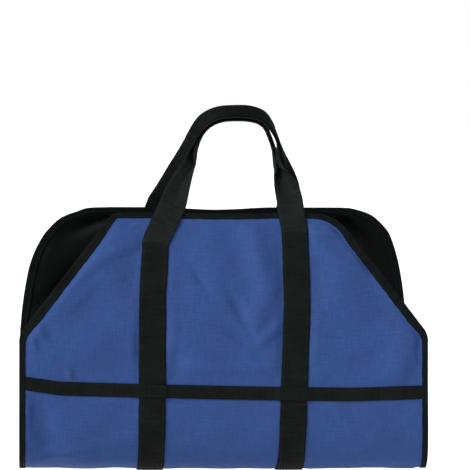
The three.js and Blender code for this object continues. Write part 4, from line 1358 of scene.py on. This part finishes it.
# Each material: how it is made, its colour, and its sizes and finish
MATERIALS = {
    "woven_blue": (woven, "cloth", 0.7 * MM, 0.62, 0.03, 0.25),
    "woven_black": (woven, "lining", 0.5 * MM, 0.5, 0.015, 0.1),
    "ribbed_tape": (ribbed, "tape", 0.8 * MM, 40 * MM, 0),
    "ribbed_webbing": (ribbed, "webbing", 2.1 * MM, 4.6 * MM, 0.7),
    # The handle material is the webbing painted paler, as painted light on the front handle.
    "ribbed_handle": (ribbed, "handle", 2.1 * MM, 4.6 * MM, 0.7),
    "ribbed_band": (ribbed, "webbing", 1.1 * MM, 2.7 * MM, 0.7),
    "sewing_thread": (sewing_thread, "thread"),
}


def material_of(context, name):
    """One of the bag's materials, made when it is first needed."""
    maker, colour, *values = MATERIALS[name]
    colour = getattr(context.scene.bag_colours, colour)
    return bpy.data.materials.get(name) or maker(name, colour, *values)


def make_layer(context, name, outer, inner, step, columns, finish):
    """The cloth or its lining, with the spacing of its mesh, and its material and node. The slot it
    is given is not used.
    """
    look, slot, node = finish
    form = HangingCloth(context.scene.bag_sizes)
    mesh = cloth_layer(name, form, outer, inner, step, columns)
    finish_piece(name, mesh, material_of(context, look), slot, node)
    return {"FINISHED"}


def make_pieces(context, stem, places, build, look, slot, node):
    """One finished piece for each place, from a function that builds its mesh."""
    form = HangingCloth(context.scene.bag_sizes)
    for place in places:
        name = f"{stem}_{place}"
        finish_piece(
            name, build(name, form, place), material_of(context, look), slot, f"{node}_{place}",
        )
    return {"FINISHED"}


class MakeCloth(bpy.types.Operator):
    """Make the long blue cloth that hangs in a U"""

    bl_idname = "bag.make_cloth"
    bl_label = "Make Cloth"

    def execute(self, context):
        thickness = context.scene.bag_sizes.cloth_thickness
        return make_layer(
            context, "cloth", 0.0, -thickness, 3.35 * MM, 142,
            ("woven_blue", "blue_cloth", "body_shell"),
        )


class MakeLining(bpy.types.Operator):
    """Make the black lining inside the blue cloth"""

    bl_idname = "bag.make_lining"
    bl_label = "Make Lining"

    def execute(self, context):
        sizes = context.scene.bag_sizes
        outer = -sizes.cloth_thickness - LAYER_GAP / 3
        return make_layer(
            context, "lining_cloth", outer, outer - sizes.lining_thickness, 4.6 * MM, 110,
            ("woven_black", "black_lining", "lining"),
        )


class MakeBindings(bpy.types.Operator):
    """Make the tape folded over the cloth's four edges"""

    bl_idname = "bag.make_bindings"
    bl_label = "Make Bindings"

    def execute(self, context):
        return make_pieces(
            context, "tape", PANELS + SIDES, tape_mesh, "ribbed_tape", "binding_tape",
            "edge_binding",
        )


class MakeStraps(bpy.types.Operator):
    """Make the two webbing straps sewn round the outside"""

    bl_idname = "bag.make_straps"
    bl_label = "Make Straps"

    def execute(self, context):
        return make_pieces(
            context, "webbing", SIDES, strap_mesh, "ribbed_webbing", "webbing", "strap",
        )


class MakeBands(bpy.types.Operator):
    """Make the narrow bands across the two faces"""

    bl_idname = "bag.make_bands"
    bl_label = "Make Bands"

    def execute(self, context):
        return make_pieces(
            context, "band", PANELS, band_mesh, "ribbed_band", "narrow_webbing", "cross_strap",
        )


class MakeHandles(bpy.types.Operator):
    """Make the two handles, with their webbing folded in half at the grip"""

    bl_idname = "bag.make_handles"
    bl_label = "Make Handles"

    def execute(self, context):
        # The front handle takes the paler handle material, painted light where it turns up to the
        # light; the back handle takes the webbing's own.
        for panel, look in (("front", "ribbed_handle"), ("back", "ribbed_webbing")):
            make_pieces(context, "grip", [panel], grip_mesh, look, "webbing", "handle")
        return {"FINISHED"}


# Share of the straps' stitch margin that tape and bands have, and the cross rows below a seam
TRIM_MARGIN = 0.8
CROSS_ROWS = 2.2 * MM, 5.4 * MM


def strap_rows(form, sizes):
    """Stitches along both edges of the sewn straps."""
    layer = LAYER_GAP + WEBBING_THICKNESS * 0.88
    for side in SIDES:
        start = LEGS["front", side]["seam_drop"] + 2 * MM
        end = form.length - LEGS["back", side]["seam_drop"] - 2 * MM
        lengths = np.linspace(start, end, 500)
        for edge in (-1, 1):
            across = form.strap_middle(side, lengths) + edge * (STRAP_WIDTH / 2 - sizes.margin)
            yield row_on_cloth(form, across, lengths, layer)


def binding_rows(form, sizes):
    """Stitches along the inner edge of the tape, outside and inside."""
    outside = tape_section(form.sizes)[0][:, 1]
    for edge in (bound_edge(form, place) for place in PANELS + SIDES):
        inset = edge[:, 4] - sizes.margin * TRIM_MARGIN
        across = edge[:, 0] + edge[:, 2] * inset
        length = edge[:, 1] + edge[:, 3] * inset
        for end, face in ((0, 1), (-1, -1)):
            yield row_on_cloth(form, across, length, outside[end], face)


def band_rows(form, sizes):
    """Stitches along both edges of the bands."""
    for panel in PANELS:
        across, drop, lift = band_route(form, panel)
        keep = np.abs(across) < form.half - TAPE_WIDTH - 3 * MM
        layer = LAYER_GAP + lift[keep] + BAND_THICKNESS * 0.9
        for edge in (-1, 1):
            at = drop[keep] + edge * (BAND_WIDTH / 2 - sizes.margin * TRIM_MARGIN)
            yield row_on_cloth(form, across[keep], form.at_panel(panel, at), layer)


def handle_rows(form, sizes):
    """Stitches along the edges of the handles, and the cross rows that sew them to the straps."""
    margin = STRAP_WIDTH / 2 - sizes.margin
    layer = LAYER_GAP + WEBBING_THICKNESS * 1.02
    for panel in PANELS:
        handle = Handle(form, panel)
        for at in (-margin, margin):
            for face in (-1, 1):
                yield handle.seam_row(at, face, 4, len(handle.walk) - 4, -0.15 * MM)
        for side in SIDES:
            for below_seam in CROSS_ROWS:
                length = form.at_panel(panel, LEGS[panel, side]["seam_drop"] + below_seam)
                across = form.strap_middle(side, length) + np.linspace(-1, 1, 24) * margin
                yield row_on_cloth(form, across, length, layer)


class MakeStitches(bpy.types.Operator):
    """Make the stitches of the straps, tape, bands and handles"""

    bl_idname = "bag.make_stitches"
    bl_label = "Make Stitches"

    def execute(self, context):
        form = HangingCloth(context.scene.bag_sizes)
        sizes = context.scene.bag_stitches
        groups = (
            ("strap_stitches", strap_rows, "webbing", 3),
            ("binding_stitches", binding_rows, "binding_tape", 5),
            ("band_stitches", band_rows, "narrow_webbing", 7),
            ("handle_stitches", handle_rows, "webbing", 9),
        )
        for name, make_rows, slot, seed in groups:
            thread = material_of(context, "sewing_thread")
            mesh = stitched_mesh(make_rows(form, sizes), name, sizes, seed, thread)
            finish_piece(name, mesh, thread, slot)
        return {"FINISHED"}


class MakeStage(bpy.types.Operator):
    """Set the camera, the pale floor and the soft lights"""

    bl_idname = "bag.make_stage"
    bl_label = "Make Stage"

    FLOOR_REACH = 40.0
    FLOOR_ROUGHNESS = 0.9
    SUN_AIMS = {"key": (0.62, 0.5, -0.6), "fill": (-0.5, -0.62, -0.6)}
    BOUNCE_SIZE = (0.9, 0.12)
    BOUNCE_FORWARD = 0.2
    BOUNCE_DROP = 0.11
    BOUNCE_AIM = (0, 0.35, 1)

    def execute(self, context):
        settings = context.scene.bag_stage
        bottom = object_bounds()[0].z
        self.make_floor(context, bottom - settings.floor_drop)
        self.make_camera(context, settings)
        for name, aim in self.SUN_AIMS.items():
            sun = bpy.data.lights.new(name, "SUN")
            sun.energy, sun.angle = getattr(settings, name), settings.spread
            self.place(context, name, sun, (0, 0, 0), aim)
        bounce = bpy.data.lights.new("bounce", "AREA")
        bounce.shape = "RECTANGLE"
        bounce.size, bounce.size_y = self.BOUNCE_SIZE
        bounce.energy = settings.bounce
        spot = (BODY_MIDDLE, -self.BOUNCE_FORWARD, bottom - self.BOUNCE_DROP)
        self.place(context, "bounce", bounce, spot, self.BOUNCE_AIM).visible_camera = False
        self.make_sky(context, settings)
        context.scene.view_settings.view_transform = "Standard"
        return {"FINISHED"}

    def place(self, context, name, data, spot, aim, roll=0.0):
        """A camera or a light of the stage, at a spot and looking along its aim."""
        thing = bpy.data.objects.new(name, data)
        context.scene.collection.objects.link(thing)
        thing.location = spot
        thing.rotation_mode = "QUATERNION"
        turn = Vector(aim).to_track_quat("-Z", "Y")
        thing.rotation_quaternion = turn @ Quaternion((0, 0, 1), roll)
        thing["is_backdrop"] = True
        return thing

    def make_floor(self, context, level):
        reach = self.FLOOR_REACH
        corners = [(-reach, -reach), (reach, -reach), (reach, reach), (-reach, reach)]
        mesh = bpy.data.meshes.new("floor")
        mesh.from_pydata([(x, y, level) for x, y in corners], [], [(0, 1, 2, 3)])
        floor = bpy.data.objects.new("floor", mesh)
        context.scene.collection.objects.link(floor)
        colour = (*context.scene.bag_colours.floor, 1)
        material, *_ = new_material("floor", Base_Color=colour, Roughness=self.FLOOR_ROUGHNESS)
        mesh.materials.append(material)
        floor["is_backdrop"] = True

    def make_camera(self, context, settings):
        data = bpy.data.cameras.new("camera")
        data.lens = settings.lens
        turn, rise = settings.azimuth, settings.elevation
        back = Vector((
            math.sin(turn) * math.cos(rise), -math.cos(turn) * math.cos(rise), math.sin(rise),
        ))
        spot = Vector((0, 0, -settings.look_down)) + back * settings.distance
        context.scene.camera = self.place(context, "camera", data, spot, -back, settings.roll)

    def make_sky(self, context, settings):
        """An even sky that the camera sees brighter than it lights the bag."""
        world = bpy.data.worlds.new("sky")
        world.use_nodes = True
        tree = NodeTree(world.node_tree)
        background = next(n for n in world.node_tree.nodes if n.type == "BACKGROUND")
        background.inputs["Color"].default_value = (1, 1, 1, 1)
        rays = tree.add("ShaderNodeLightPath")
        strength = tree.fit(rays["Is Camera Ray"], 0, 1, settings.sky, settings.backdrop)
        world.node_tree.links.new(strength, background.inputs["Strength"])
        context.scene.world = world


class BagPanel(bpy.types.Panel):
    """Sizes and colours of the firewood bag, and the steps that make it"""

    bl_idname = "VIEW3D_PT_firewood_bag"
    bl_label = "Firewood Bag"
    bl_space_type = "VIEW_3D"
    bl_region_type = "UI"
    bl_category = "Firewood Bag"

    def draw(self, context):
        layout = self.layout
        scene = context.scene
        for group in (scene.bag_sizes, scene.bag_stitches, scene.bag_colours, scene.bag_stage):
            box = layout.box()
            for name in group.__annotations__:
                box.prop(group, name)
        for operator in OPERATORS:
            layout.operator(operator.bl_idname)


OPERATORS = (
    MakeCloth, MakeLining, MakeBindings, MakeStraps, MakeBands, MakeHandles, MakeStitches,
    MakeStage,
)
GROUPS = {
    "bag_sizes": BagSizes, "bag_stitches": StitchSizes,
    "bag_colours": BagColours, "bag_stage": StageSettings,
}


def register():
    for name, group in GROUPS.items():
        bpy.utils.register_class(group)
        setattr(bpy.types.Scene, name, bpy.props.PointerProperty(type=group))
    for cls in (*OPERATORS, BagPanel):
        bpy.utils.register_class(cls)


def unregister():
    for cls in reversed((*OPERATORS, BagPanel)):
        bpy.utils.unregister_class(cls)
    for name, group in reversed(GROUPS.items()):
        delattr(bpy.types.Scene, name)
        bpy.utils.unregister_class(group)


def declare_sheets(context):
    """Works out the cut cloth's flat area and the pieces sewn onto it; nothing is done with them.
    """
    form = HangingCloth(context.scene.bag_sizes)
    area = flat_area(form)
    sewn_on = [f"tape_{place}" for place in PANELS + SIDES]
    sewn_on += ["webbing_left", "webbing_right", "band_front", "band_back"]
    sewn_on += ["strap_stitches", "binding_stitches", "band_stitches"]


def write_size():
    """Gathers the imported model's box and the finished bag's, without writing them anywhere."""
    boxes = {"cad": CAD_BOX, "scene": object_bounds()}
    plain = {name: [list(low), list(high)] for name, (low, high) in boxes.items()}


def main():
    register()
    bpy.ops.bag.make_cloth()
    bpy.ops.bag.make_lining()
    bpy.ops.bag.make_bindings()
    bpy.ops.bag.make_straps()
    bpy.ops.bag.make_bands()
    bpy.ops.bag.make_handles()
    bpy.ops.bag.make_stitches()
    bpy.ops.bag.make_stage()
    declare_sheets(bpy.context)
    write_size()


if __name__ == "__main__":
    main()
